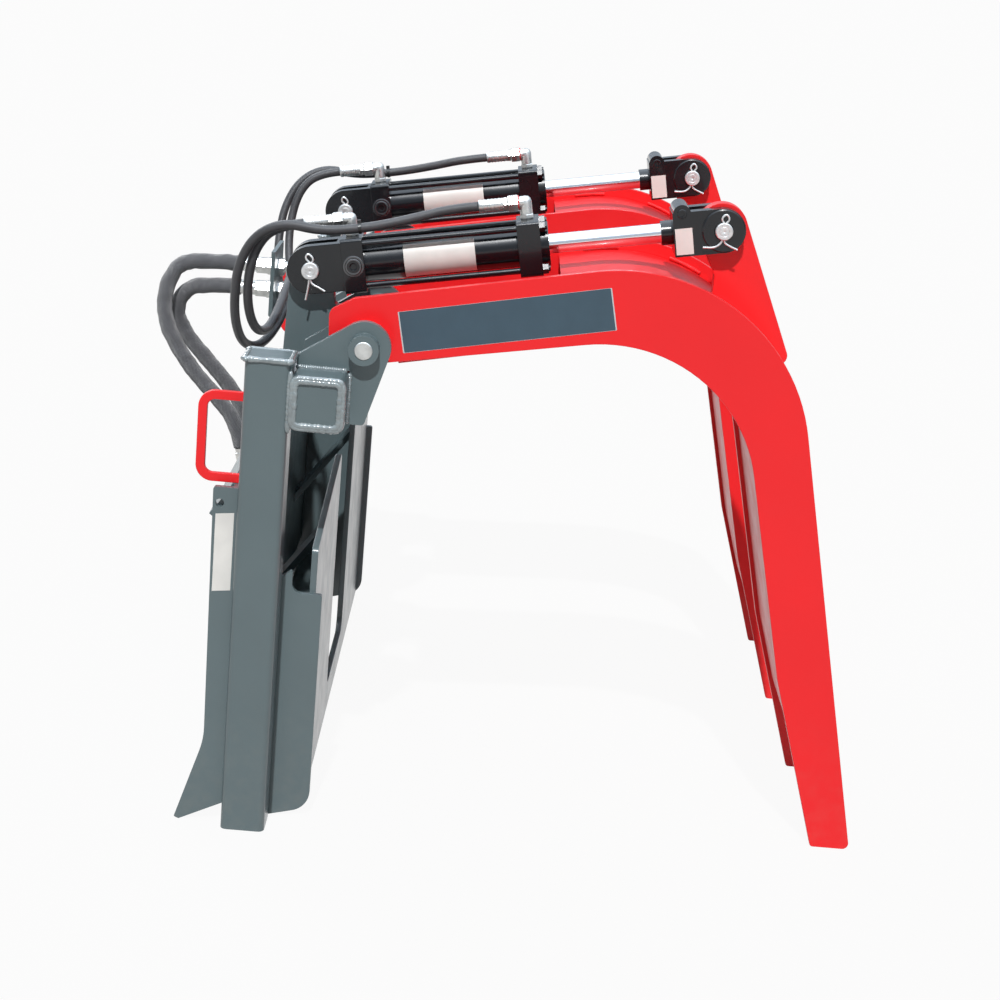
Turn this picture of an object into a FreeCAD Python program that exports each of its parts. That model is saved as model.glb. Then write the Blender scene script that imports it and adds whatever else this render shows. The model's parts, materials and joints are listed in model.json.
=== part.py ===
import FreeCAD, Part
import math
import os

os.makedirs("parts", exist_ok=True)
Vector = FreeCAD.Vector

# All lengths are in millimetres. Shapes are drawn round the arm pivot axis, which runs along Y
# through X 0, Z 0, and save() moves them so that the origin is the bottom centre of the grapple.
armPivotHeight = 712.0
pivotToMiddle = 271.0

# Spacing of the four tines and of the two cylinders
tineSpacing = 305.0
tineCentres = [tineSpacing * step for step in (-1.5, -0.5, 0.5, 1.5)]
cylinderCentres = {"left": -tineSpacing, "right": tineSpacing}

# Plates, pins and fits
tinePlate = 12.7
earPlate = 12.7
framePlate = 9.5
skinPlate = 6.35
pinRadius = 12.7
pinClearance = 0.05

# Rear frame
frameWidth = 1145.0
postSide = 63.5
postWall = 6.35
postFrontX = -94.0
postTopZ = -13.0
postCap = 5.0
tubeSide = 76.2
tubeWall = 6.35
tubeTopZ = -34.0
tubeEndCap = 6.35
lowerTubeZ = -690.0

postBackX = postFrontX - postSide
postInnerY = frameWidth / 2 - postSide
tubeFrontX = postFrontX + tubeSide
tubeBottomZ = tubeTopZ - tubeSide
floorZ = -armPivotHeight


def box(x0, x1, y0, y1, z0, z1):
    return Part.makeBox(x1 - x0, y1 - y0, z1 - z0, Vector(x0, y0, z0))


def roundBarY(x, z, radius, y0, y1):
    return Part.makeCylinder(radius, y1 - y0, Vector(x, y0, z), Vector(0, 1, 0))


def roundBarX(y, z, radius, x0, x1):
    return Part.makeCylinder(radius, x1 - x0, Vector(x0, y, z), Vector(1, 0, 0))


def roundBarZ(x, y, radius, z0, z1):
    return Part.makeCylinder(radius, z1 - z0, Vector(x, y, z0), Vector(0, 0, 1))


def unit(ax, az, bx, bz):
    length = math.hypot(bx - ax, bz - az)
    return (bx - ax) / length, (bz - az) / length


def cornerEdges(points, closed):
    """Lines and tangent arcs through corners given as (x, z, radius) in the XZ plane."""
    count = len(points)
    starts, ends, mids = [], [], []
    for index, (x, z, radius) in enumerate(points):
        isEnd = not closed and index in (0, count - 1)
        if radius == 0 or isEnd:
            starts.append((x, z))
            ends.append((x, z))
            mids.append(None)
            continue
        before = points[index - 1]
        after = points[(index + 1) % count]
        ux, uz = unit(x, z, before[0], before[1])
        vx, vz = unit(x, z, after[0], after[1])
        half = math.acos(max(-1.0, min(1.0, ux * vx + uz * vz))) / 2
        reach = radius / math.tan(half)
        bx, bz = unit(0, 0, ux + vx, uz + vz)
        toArc = radius / math.sin(half) - radius
        starts.append((x + ux * reach, z + uz * reach))
        ends.append((x + vx * reach, z + vz * reach))
        mids.append((x + bx * toArc, z + bz * toArc))
    edges = []
    last = count if closed else count - 1
    for index in range(count):
        if mids[index]:
            arcPoints = [Vector(p[0], 0, p[1]) for p in (starts[index], mids[index], ends[index])]
            edges.append(Part.Arc(*arcPoints).toShape())
        if index < last:
            a = ends[index]
            b = starts[(index + 1) % count]
            if math.hypot(b[0] - a[0], b[1] - a[1]) > 1e-6:
                edges.append(Part.makeLine(Vector(a[0], 0, a[1]), Vector(b[0], 0, b[1])))
    return edges


def plateXZ(points, yMiddle, thickness):
    """Plate with an outline of (x, z, radius) corners, lying across Y."""
    face = Part.Face(Part.Wire(cornerEdges(points, True)))
    face.translate(Vector(0, yMiddle - thickness / 2, 0))
    return face.extrude(Vector(0, thickness, 0))


def plateYZ(points, x0, x1):
    """Plate with an outline of (y, z, radius) corners, lying across X."""
    plate = plateXZ(points, 0, x1 - x0)
    plate.rotate(Vector(0, 0, 0), Vector(0, 0, 1), 90)
    plate.translate(Vector((x0 + x1) / 2, 0, 0))
    return plate


def sidePath(points, distance):
    """The same path moved to its left by a distance, with arcs that keep their centres."""
    count = len(points)
    normals = []
    for a, b in zip(points, points[1:]):
        ux, uz = unit(a[0], a[1], b[0], b[1])
        normals.append((-uz, ux))
    moved = []
    for index, (x, z, radius) in enumerate(points):
        n1 = normals[max(index - 1, 0)]
        n2 = normals[min(index, count - 2)]
        scale = distance / (1 + n1[0] * n2[0] + n1[1] * n2[1])
        turn = n1[0] * n2[1] - n1[1] * n2[0]
        newRadius = 0 if radius == 0 else radius + (distance if turn < 0 else -distance)
        moved.append((x + (n1[0] + n2[0]) * scale, z + (n1[1] + n2[1]) * scale, newRadius))
    return moved


def bandXZ(points, thickness, y0, y1):
    """Bent plate whose right side follows a path and whose thickness lies on the path's left."""
    back = list(reversed(sidePath(points, thickness)))
    return plateXZ(points + back, (y0 + y1) / 2, y1 - y0)


def tangentPoint(px, pz, cx, cz, radius, side):
    """Where a line from a point touches a circle, on the side +1 (left) or -1 (right)."""
    away = math.hypot(px - cx, pz - cz)
    toward = math.atan2(pz - cz, px - cx)
    angle = toward - side * math.acos(radius / away)
    return cx + radius * math.cos(angle), cz + radius * math.sin(angle), 0


def eyePlate(corners, cx, cz, radius, yMiddle, thickness):
    """Plate of corners whose open side is rounded about a pin: its outline ends in a round eye."""
    first, last = corners[0], corners[-1]
    a = tangentPoint(first[0], first[1], cx, cz, radius, 1)
    b = tangentPoint(last[0], last[1], cx, cz, radius, -1)
    body = plateXZ(corners + [b, a], yMiddle, thickness)
    eye = roundBarY(cx, cz, radius, yMiddle - thickness / 2, yMiddle + thickness / 2)
    return body.fuse(eye).removeSplitter()


def squareTube(side, wall, length):
    """Square tube with round corners along Z, from 0 up, centred on the Z axis."""
    solids = []
    for half, radius in ((side / 2, wall * 1.5), (side / 2 - wall, wall * 0.5)):
        corners = [(-half, -half, radius), (half, -half, radius)]
        corners += [(half, half, radius), (-half, half, radius)]
        solid = plateXZ(corners, length / 2, length)
        solid.rotate(Vector(0, 0, 0), Vector(1, 0, 0), 90)
        solids.append(solid)
    return solids[0].cut(solids[1])


def save(name, shape):
    moved = shape.copy()
    moved.translate(Vector(-pivotToMiddle, 0, armPivotHeight))
    moved.exportStep("parts/" + name + ".step")


# Rear frame: two posts, the crosstube that carries the pivots and the lower tube between the posts
def buildPosts():
    length = postTopZ - postCap - floorZ
    for name, side in (("left", -1), ("right", 1)):
        post = squareTube(postSide, postWall, length)
        middleX = (postFrontX + postBackX) / 2
        middleY = side * (frameWidth / 2 - postSide / 2)
        post.translate(Vector(middleX, middleY, floorZ))
        y0, y1 = middleY - postSide / 2, middleY + postSide / 2
        cap = box(postBackX, postFrontX, y0, y1, postTopZ - postCap, postTopZ)
        cap = cap.makeFillet(postCap * 0.6, [e for e in cap.Edges if e.BoundBox.ZMin > postTopZ - 0.1])
        save(name + "_post", post.fuse(cap))


def buildCrossTubes():
    length = frameWidth - 2 * tubeEndCap
    tube = squareTube(tubeSide, tubeWall, length)
    tube.rotate(Vector(0, 0, 0), Vector(1, 0, 0), -90)
    tube.translate(Vector(postFrontX + tubeSide / 2, -length / 2, tubeTopZ - tubeSide / 2))
    ends = []
    for side in (-1, 1):
        y0 = side * (length / 2 + tubeEndCap / 2)
        r = tubeWall * 1.5
        corners = [(postFrontX, tubeBottomZ, r), (tubeFrontX, tubeBottomZ, r)]
        corners += [(tubeFrontX, tubeTopZ, r), (postFrontX, tubeTopZ, r)]
        ends.append(plateXZ(corners, y0, tubeEndCap))
    save("crosstube", tube.fuse(ends).removeSplitter())
    lower = squareTube(postSide, postWall, 2 * (postInnerY - framePlate))
    lower.rotate(Vector(0, 0, 0), Vector(1, 0, 0), -90)
    middleX = (postFrontX + postBackX) / 2
    lower.translate(Vector(middleX, -(postInnerY - framePlate), lowerTubeZ + postSide / 2))
    save("lower_tube", lower)


# Pivot ears on both sides of each tine, with the bosses and the pin that they hold
earGap = 87.0
earRadius = 37.0
earFootX = 6.0
earTailX = postFrontX + 2.0
earTailRise = 17.0
bossRadius = 21.5
bossLength = 20.0
pinEnd = 1.5


def buildEars():
    pins = []
    for number, centre in enumerate(tineCentres, 1):
        ears = []
        for side in (-1, 1):
            inner = earGap / 2
            middle = centre + side * (inner + earPlate / 2)
            tail = (earTailX, tubeTopZ + earTailRise, 0)
            foot = (earFootX, tubeBottomZ, 6.0)
            corners = [tail, (earTailX, tubeTopZ, 0), (tubeFrontX, tubeTopZ, 0)]
            corners += [(tubeFrontX, tubeBottomZ, 0), foot]
            ear = eyePlate(corners, 0, 0, earRadius, middle, earPlate)
            outer = centre + side * (inner + earPlate)
            y0, y1 = sorted((outer, outer + side * bossLength))
            ear = ear.fuse(roundBarY(0, 0, bossRadius, y0, y1))
            ears.append(ear.cut(roundBarY(0, 0, pinRadius + pinClearance, centre - 200, centre + 200)))
        save("pivot_ears_%d" % number, Part.makeCompound(ears))
        half = earGap / 2 + earPlate + bossLength + pinEnd
        pin = roundBarY(0, 0, pinRadius, centre - half, centre + half)
        pins.append(pin.makeChamfer(1.0, [e for e in pin.Edges if e.Closed]))
    save("left_pivot_pins", Part.makeCompound(pins[:2]))
    save("right_pivot_pins", Part.makeCompound(pins[2:]))


# Cylinder pins, and the plate lugs on the frame that hold the base ends
basePinX = -96.0
basePinZ = 71.0
rodPinX = 494.0
rodPinZ = 180.0
clevisGap = 28.6
lugPlate = 25.4
baseLugRadius = 31.0
baseLugTailX = postFrontX - 38.0
baseLugTailZ = tubeTopZ - 30.0
baseLugShoulderX = -60.0
baseLugShoulderZ = 18.0


def buildBaseLugs():
    for name, centre in cylinderCentres.items():
        shoulder = (baseLugShoulderX, baseLugShoulderZ, 8.0)
        knee = (tubeFrontX - 6, baseLugShoulderZ - 4, 8.0)
        corners = [(baseLugTailX, baseLugTailZ, 0), (postFrontX, baseLugTailZ, 0)]
        corners += [(postFrontX, tubeTopZ, 0)]
        corners += [(tubeFrontX - 1, tubeTopZ, 0), knee, shoulder]
        lug = eyePlate(corners, basePinX, basePinZ, baseLugRadius, centre, lugPlate)
        hole = roundBarY(basePinX, basePinZ, pinRadius + pinClearance, centre - 50, centre + 50)
        save(name + "_base_lug", lug.cut(hole))


# Front of the frame: side plates inside the posts, two wide uprights and a bottom bar between them
frontX = -46.0
sideFrontX = -36.0
sideFrontRise = 15.0
sidePlateTopZ = -330.0
windowSillZ = -366.0
windowBackX = -80.0
uprightInnerY = 140.0
uprightTopZ = -250.0
uprightShoulderZ = -300.0
bottomBarZ = -697.0
bottomBarHeight = 50.0


def buildFront():
    for name, side in (("left", -1), ("right", 1)):
        middle = side * (postInnerY - framePlate / 2)
        corners = [(postBackX, floorZ, 0), (postFrontX, floorZ, 0), (sideFrontX, floorZ + sideFrontRise, 32.0)]
        corners += [(sideFrontX, windowSillZ, 4.0), (windowBackX, windowSillZ, 14.0)]
        corners += [(windowBackX, sidePlateTopZ, 3.0)]
        corners += [(postFrontX, sidePlateTopZ - 12, 0), (postBackX, sidePlateTopZ - 12, 0)]
        save(name + "_side_plate", plateXZ(corners, middle, framePlate))
    outer = postInnerY - framePlate
    window = bottomBarZ + bottomBarHeight
    half = [(outer, bottomBarZ, 0), (outer, uprightShoulderZ, 10.0)]
    half += [(uprightInnerY, uprightTopZ, 10.0), (uprightInnerY, window, 25.0)]
    mirrored = [(-y, z, radius) for y, z, radius in reversed(half)]
    save("front_plate", plateYZ(half + mirrored, frontX - framePlate, frontX))


# Diagonal braces from the uprights back to the lower part of the posts
braceWidth = 60.0
braceTopZ = -330.0
braceBottomZ = -470.0
braceY = 330.0


def buildBraces():
    braces = []
    for side in (-1, 1):
        path = [(postBackX, braceBottomZ, 0), (frontX - framePlate, braceTopZ, 0)]
        brace = bandXZ(path, framePlate, side * braceY - braceWidth / 2, side * braceY + braceWidth / 2)
        keep = box(postBackX, frontX - framePlate, -frameWidth, frameWidth, floorZ, 0)
        braces.append(brace.common(keep))
    save("braces", Part.makeCompound(braces))


# Quick attach: plate on the back of the posts, hook lip, kicked lower flange and side gussets
gussetInnerY = frameWidth / 2 - 32.5
gussetBackX = postBackX - 36.5
attachTopZ = -206.0
attachBottomZ = -585.0
lipDrop = 34.0
kickX = postBackX - 70.5
kickKneeX = postBackX - 32.5
gussetFootX = postBackX
gussetFootZ = -681.0
lockSlotY = 412.0
lockSlotLength = 50.0
lockSlotWidth = 30.0
gussetHoleRadius = 6.0
gussetHoleInset = 10.0
gussetHoleDrop = 23.0


def buildQuickAttach():
    plateBack = postBackX - framePlate
    plate = box(plateBack, postBackX, -gussetInnerY, gussetInnerY, attachBottomZ, attachTopZ)
    lipRootZ = attachTopZ - framePlate * 1.5
    lipPath = [(gussetBackX + 2, lipRootZ - lipDrop, 0), (plateBack, lipRootZ, 0)]
    lip = bandXZ(lipPath, framePlate, -gussetInnerY, gussetInnerY)
    lip = lip.cut(box(plateBack, 0, -frameWidth, frameWidth, floorZ, 0))
    save("attach_plate", plate.fuse(lip).removeSplitter())
    flange = [(plateBack, attachBottomZ, 0), (postBackX, attachBottomZ, 0)]
    flange += [(postBackX, attachBottomZ - framePlate, 0)]
    flange += [(kickX + 16, floorZ + 2, 0), (kickX + 6, floorZ + 9, 0)]
    flange = plateXZ(flange, 0, 2 * gussetInnerY)
    slopeX = plateBack - kickX
    slopeZ = attachBottomZ - floorZ
    angle = math.degrees(math.atan2(slopeX, slopeZ))
    for side in (-1, 1):
        slotY, slotZ = lockSlotLength / 2, lockSlotWidth / 2
        slot = box(-60, 60, -slotY, slotY, -slotZ, slotZ)
        slot.rotate(Vector(0, 0, 0), Vector(0, 1, 0), angle)
        slot.translate(Vector(kickX + slopeX * 0.55, side * lockSlotY, floorZ + slopeZ * 0.5))
        flange = flange.cut(slot)
    save("lower_flange", flange)
    for name, side in (("left", -1), ("right", 1)):
        corners = [(postBackX, attachTopZ, 0), (gussetBackX, attachTopZ, 4.0)]
        corners += [(kickKneeX, attachBottomZ, 120.0)]
        corners += [(kickX, floorZ + 3, 2.0), (kickX + 7, floorZ, 2.0), (gussetFootX, gussetFootZ, 0)]
        gusset = plateXZ(corners, side * (gussetInnerY + framePlate / 2), framePlate)
        holeX, holeZ = gussetBackX + gussetHoleInset, attachTopZ - gussetHoleDrop
        hole = roundBarY(holeX, holeZ, gussetHoleRadius, -frameWidth, frameWidth)
        save(name + "_gusset", gusset.cut(hole))


# Flat bar handles behind the posts, which also hold the hoses
handleBar = 13.0
handleThickness = 9.5
handleBackX = postBackX - 66.5
handleTopZ = -75.0
handleBottomZ = attachTopZ
handleY = postInnerY + 11.0


def buildHandles():
    for name, side in (("left", -1), ("right", 1)):
        corners = [(postBackX, handleBottomZ, 0), (handleBackX, handleBottomZ, 24.0)]
        corners += [(handleBackX, handleTopZ, 24.0), (postBackX, handleTopZ, 0)]
        innerX, low, high = handleBackX + handleBar, handleBottomZ + handleBar, handleTopZ - handleBar
        inner = [(postBackX, low, 0), (innerX, low, 11.0), (innerX, high, 11.0), (postBackX, high, 0)]
        bar = plateXZ(corners, side * handleY, handleThickness)
        save(name + "_handle", bar.cut(plateXZ(inner, side * handleY, handleThickness + 2)))


# Arms: two tines, a bent outer skin, an inner skin and the rod lug, all turning on the pivot pins
heelRadius = 34.0
heelBack = 54.0
heelRunOut = 0.35
undersideSlope = 11.5
openStop = 36.0
stopMargin = 1.5
outerBendRadius = 275.0
innerBendRadius = 224.0
outerBend = (576.5, 178.5)
innerBend = (516.0, 58.7)
heelTop = (-22.0, 58.8)
outerKnee = (711.0, -437.0)
innerKnee = (634.0, -452.0)
innerKneeRadius = 150.0
tipOuter = (774.0, floorZ)
tipInner = (715.0, floorZ)
bushRadius = 25.4
bushSide = 1.0
outerSkinRecess = 19.0
innerSkinRecess = 6.0
outerSkinStartX = 262.0
innerSkinStartX = 47.0
skinEndZ = -560.0
rodLugRadius = 37.0
rodLugRootX = 490.0
rodLugRootDrop = 69.0
rodLugFoot = (618.0, -14.0)
rodLugFootRadius = 14.0
lugHoleRadius = 21.0
lugHoleShiftX = 3.6
lugHoleShiftZ = -3.1


def outerPath():
    return [(heelTop[0], heelTop[1], 0), (outerBend[0], outerBend[1], outerBendRadius),
            (outerKnee[0], outerKnee[1], 0), (tipOuter[0], tipOuter[1], 0)]


def innerPath():
    return [(0.0, innerStartZ(0.0), 0), (innerBend[0], innerBend[1], innerBendRadius),
            (innerKnee[0], innerKnee[1], innerKneeRadius), (tipInner[0], tipInner[1], 0)]


def innerStartZ(x):
    """Height of the lower edge of the arm, a straight line that runs just under the heel circle."""
    slope = math.tan(math.radians(undersideSlope))
    return innerBend[1] - (innerBend[0] - x) * slope


def tineOutline():
    stopAngle = math.radians(-90.0 - openStop - stopMargin)
    touchX = heelRadius * math.cos(stopAngle)
    touchZ = heelRadius * math.sin(stopAngle)
    along = math.sqrt(heelBack ** 2 - heelRadius ** 2)
    backX = touchX + along * math.sin(stopAngle)
    backZ = touchZ - along * math.cos(stopAngle)
    underX = touchX + heelRunOut * (touchX - backX)
    underZ = touchZ + heelRunOut * (touchZ - backZ)
    outline = [(tipOuter[0], tipOuter[1], 9.0), (outerKnee[0], outerKnee[1], 0)]
    outline += [(outerBend[0], outerBend[1], outerBendRadius), (heelTop[0], heelTop[1], 20.0)]
    outline += [(backX - 2, heelTop[1] - 20, 14.0), (backX, backZ, 3.0), (underX, underZ, 20.0)]
    outline += [(innerBend[0], innerBend[1], innerBendRadius)]
    outline += [(innerKnee[0], innerKnee[1], innerKneeRadius), (tipInner[0], tipInner[1], 5.0)]
    return outline


def buildArms():
    outline = tineOutline()
    bushHalf = earGap / 2 - bushSide
    for name, centre in cylinderCentres.items():
        for which, offset in (("outer", 1), ("inner", -1)):
            middle = centre + (1 if centre > 0 else -1) * offset * tineSpacing / 2
            tine = plateXZ(outline, middle, tinePlate)
            tine = tine.fuse(roundBarY(0, 0, bushRadius, middle - bushHalf, middle + bushHalf))
            tine = tine.cut(roundBarY(0, 0, pinRadius + pinClearance, middle - 100, middle + 100))
            save("%s_%s_tine" % (name, which), tine)
        y0 = centre - tineSpacing / 2 + tinePlate / 2
        y1 = centre + tineSpacing / 2 - tinePlate / 2
        outerLine = outerPath()
        slope = (outerBend[1] - heelTop[1]) / (outerBend[0] - heelTop[0])
        outerLine[0] = (outerSkinStartX, heelTop[1] + slope * (outerSkinStartX - heelTop[0]), 0)
        along = (skinEndZ - outerKnee[1]) / (tipOuter[1] - outerKnee[1])
        outerLine[3] = (outerKnee[0] + along * (tipOuter[0] - outerKnee[0]), skinEndZ, 0)
        recessed = sidePath(outerLine, -outerSkinRecess)
        skin = bandXZ(recessed, -skinPlate, y0, y1)
        save(name + "_outer_skin", skin)
        innerLine = innerPath()
        innerLine[0] = (innerSkinStartX, innerStartZ(innerSkinStartX), 0)
        along = (skinEndZ - innerKnee[1]) / (tipInner[1] - innerKnee[1])
        innerLine[3] = (innerKnee[0] + along * (tipInner[0] - innerKnee[0]), skinEndZ, 0)
        innerSkin = bandXZ(sidePath(innerLine, innerSkinRecess), skinPlate, y0, y1)
        save(name + "_inner_skin", innerSkin)
        corners = [(rodLugRootX, rodPinZ - rodLugRootDrop, 0), (rodLugRootX, rodLugFoot[1], 0)]
        corners += [(rodLugFoot[0], rodLugFoot[1], rodLugFootRadius)]
        lug = eyePlate(corners, rodPinX, rodPinZ, rodLugRadius, centre, lugPlate)
        inside = plateXZ(recessed + [(recessed[0][0], skinEndZ, 0)], centre, lugPlate + 2)
        holeX, holeZ = rodPinX + lugHoleShiftX, rodPinZ + lugHoleShiftZ
        hole = roundBarY(holeX, holeZ, lugHoleRadius, centre - 50, centre + 50)
        save(name + "_rod_lug", lug.cut(inside).cut(hole))


# Cylinders, drawn along X from the base pin and then turned up to the rod pin
cylinderAngle = math.degrees(math.atan2(rodPinZ - basePinZ, rodPinX - basePinX))
pinDistance = math.hypot(rodPinX - basePinX, rodPinZ - basePinZ)
clevisEar = 22.0
baseClevisRadius = 35.0
baseCapStart = 47.0
capThickness = 32.0
capSide = 80.0
barrelLength = 224.0
headCapThickness = 33.0
glandThickness = 12.0
glandRadius = 33.0
barrelRadius = 30.0
boreRadius = 25.4
pistonClearance = 0.1
pistonLength = 32.0
pistonStart = 217.0
rodRadius = 14.3
tieRodRadius = 4.75
tieRodInset = 9.5
tieNutAcross = 14.0
tieNutHeight = 8.0
pinProud = 9.0
cotterRadius = 1.6
studProud = 3.0
pinChamfer = 1.2
cotterEyeRadius = 4.2
cotterLegLength = 20.0
cotterLegLeans = (-55, 50)
portRadius = 12.0
portInset = 16.0
plugProud = 3.0
plugSocketRadius = 5.0
clevisDepthClearance = 9.0

barrelStart = baseCapStart + capThickness
headCapStart = barrelStart + barrelLength
headCapEnd = headCapStart + headCapThickness


def turned(shape, centre):
    shape.rotate(Vector(0, 0, 0), Vector(0, 1, 0), -cylinderAngle)
    shape.translate(Vector(basePinX, centre, basePinZ))
    return shape


def clevisPin(u, half):
    """Pin with a split cotter at each end: an eye above the pin and two legs spread below."""
    pin = roundBarY(u, 0, pinRadius, -half - pinProud, half + pinProud)
    pin = pin.makeChamfer(pinChamfer, [e for e in pin.Edges if e.Closed])
    cotters = []
    for side in (-1, 1):
        y = side * (half + pinProud / 2)
        pin = pin.cut(roundBarZ(u, y, cotterRadius + 0.2, -40, 40))
        shank = roundBarZ(u, y, cotterRadius, -pinRadius - 3, pinRadius + 3)
        eyeZ = pinRadius + 2.2 + cotterEyeRadius
        eye = Part.makeTorus(cotterEyeRadius, cotterRadius, Vector(u, y, eyeZ), Vector(0, 1, 0))
        legs = []
        for lean in cotterLegLeans:
            leg = roundBarZ(0, 0, cotterRadius, -cotterLegLength, 0)
            leg.rotate(Vector(0, 0, 0), Vector(0, 1, 0), lean)
            leg.translate(Vector(u, y, -pinRadius - 2.5))
            legs.append(leg)
        cotters.append(shank.fuse([eye] + legs))
    return Part.makeCompound([pin] + cotters)


def squareCap(u0, u1):
    half = capSide / 2
    corners = [(-half, -half, 5.0), (half, -half, 5.0), (half, half, 5.0), (-half, half, 5.0)]
    return plateYZ(corners, u0, u1)


def tieRodPlaces():
    reach = capSide / 2 - tieRodInset
    return [(sy * reach, sz * reach) for sy in (-1, 1) for sz in (-1, 1)]


def hexagon(y, z, across, u0, u1):
    radius = across / math.sqrt(3)
    points = []
    for k in range(6):
        angle = math.radians(60 * k)
        points.append(Vector(u0, y + radius * math.cos(angle), z + radius * math.sin(angle)))
    return Part.Face(Part.makePolygon(points + [points[0]])).extrude(Vector(u1 - u0, 0, 0))


def buildBarrels():
    clevisHalf = clevisGap / 2 + clevisEar
    for name, centre in cylinderCentres.items():
        block = box(0, baseCapStart, -clevisHalf, clevisHalf, -baseClevisRadius, baseClevisRadius)
        block = block.fuse(roundBarY(0, 0, baseClevisRadius, -clevisHalf, clevisHalf))
        gapEnd = baseLugRadius + clevisDepthClearance
        block = block.cut(box(-80, gapEnd, -clevisGap / 2, clevisGap / 2, -80, 80))
        block = block.fuse(squareCap(baseCapStart, barrelStart)).removeSplitter()
        block = block.cut(roundBarY(0, 0, pinRadius + pinClearance, -80, 80))
        plugU = baseCapStart + portInset
        plug = roundBarY(plugU, 0, portRadius, -capSide / 2 - plugProud, -capSide / 2)
        plug = plug.cut(roundBarY(plugU, 0, plugSocketRadius, -capSide / 2 - plugProud - 1, -capSide / 2))
        save(name + "_base_cap", turned(block.fuse(plug), centre))
        barrel = roundBarX(0, 0, barrelRadius, barrelStart, headCapStart)
        barrel = barrel.cut(roundBarX(0, 0, boreRadius, barrelStart, headCapStart))
        save(name + "_barrel", turned(barrel, centre))
        glandEnd = headCapEnd + glandThickness
        head = squareCap(headCapStart, headCapEnd)
        head = head.fuse(roundBarX(0, 0, glandRadius, headCapEnd, glandEnd))
        head = head.cut(roundBarX(0, 0, rodRadius + pistonClearance, headCapStart - 1, glandEnd + 1))
        save(name + "_head_cap", turned(head.removeSplitter(), centre))
        ties = []
        nutEnd = headCapEnd + tieNutHeight
        for y, z in tieRodPlaces():
            ties.append(roundBarX(y, z, tieRodRadius, barrelStart, headCapStart))
            nut = hexagon(y, z, tieNutAcross, headCapEnd, nutEnd)
            stud = roundBarX(y, z, tieRodRadius, nutEnd, nutEnd + studProud)
            ties.append(nut.fuse(stud).removeSplitter())
        save(name + "_tie_rods", turned(Part.makeCompound(ties), centre))
        save(name + "_base_pin", turned(clevisPin(0, clevisHalf), centre))


# Piston rod, piston and the clevis that is clamped on the rod
collarRadius = 18.0
collarLength = 17.0
rodClevisLength = 72.0
clevisHalfHeight = 32.0
rodClevisRadius = 32.0
rodLugClearance = 14.0
clampRadius = 13.0
clampOffset = 14.0
earDisc = 1.5

clevisStart = pinDistance - rodClevisLength
collarStart = clevisStart - collarLength


def buildRods():
    clevisHalf = clevisGap / 2 + clevisEar - earDisc
    for name, centre in cylinderCentres.items():
        rod = roundBarX(0, 0, rodRadius, pistonStart + pistonLength, collarStart)
        piston = roundBarX(0, 0, boreRadius - pistonClearance, pistonStart, pistonStart + pistonLength)
        save(name + "_piston_rod", turned(rod.fuse(piston).removeSplitter(), centre))
        u = pinDistance
        block = box(clevisStart, u, -clevisHalf, clevisHalf, -clevisHalfHeight, clevisHalfHeight)
        block = block.fuse(roundBarY(u, 0, rodClevisRadius, -clevisHalf - earDisc, clevisHalf + earDisc))
        gapStart = u - rodLugRadius - rodLugClearance
        block = block.cut(box(gapStart, u + 80, -clevisGap / 2, clevisGap / 2, -80, 80))
        block = block.cut(roundBarY(u, 0, pinRadius + pinClearance, -80, 80))
        boss = roundBarY(clevisStart + clampOffset, clevisHalfHeight - 2, clampRadius, -clevisHalf, clevisHalf)
        collar = roundBarX(0, 0, collarRadius, collarStart, clevisStart)
        save(name + "_rod_clevis", turned(block.fuse([boss, collar]).removeSplitter(), centre))
        save(name + "_rod_pin", turned(clevisPin(u, clevisHalf + earDisc), centre))


# Port elbows on top of the caps, with the swivel nut and ferrule of the hose that each one takes
elbowStem = 8.0
elbowStemRadius = 9.0
elbowBody = 20.0
elbowRise = 26.0
nutAcross = 22.0
nutLength = 16.0
ferruleRadius = 9.5
ferruleLength = 42.0
hoseRadius = 6.75

elbowBase = capSide / 2 + elbowStem
elbowPortV = elbowBase + elbowRise - elbowBody / 2


def buildElbows():
    for name, centre in cylinderCentres.items():
        pieces = []
        for u in (baseCapStart + portInset, headCapStart + portInset):
            half = elbowBody / 2
            nutStart = u - half - nutLength
            stem = roundBarZ(u, 0, elbowStemRadius, capSide / 2, elbowBase)
            body = box(u - half, u + half, -half, half, elbowBase, elbowBase + elbowRise)
            nut = hexagon(0, elbowPortV, nutAcross, nutStart, u - half)
            ferrule = roundBarX(0, elbowPortV, ferruleRadius, nutStart - ferruleLength, nutStart)
            pieces.append(stem.fuse([body, nut, ferrule]).removeSplitter())
        save(name + "_port_fittings", turned(Part.makeCompound(pieces), centre))


# Bulkhead bracket in the middle of the frame: two through fittings, each with a tee for the two cylinders
bulkheadX = postFrontX - 84.0
bulkheadPlate = 6.35
bulkheadTopZ = 45.0
bulkheadHalf = 60.0
bulkheadFootZ = -60.0
portHeights = (12.0, -26.0)
teeX = postFrontX - 56.0
teeSide = 22.0
teeFerruleLength = 38.0
fittingRadius = 9.0
fittingNutAcross = 26.0
fittingNutLength = 10.0
supplyNutLength = 18.0
supplyFerruleRadius = 11.5
supplyFerruleLength = 24.0


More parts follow.
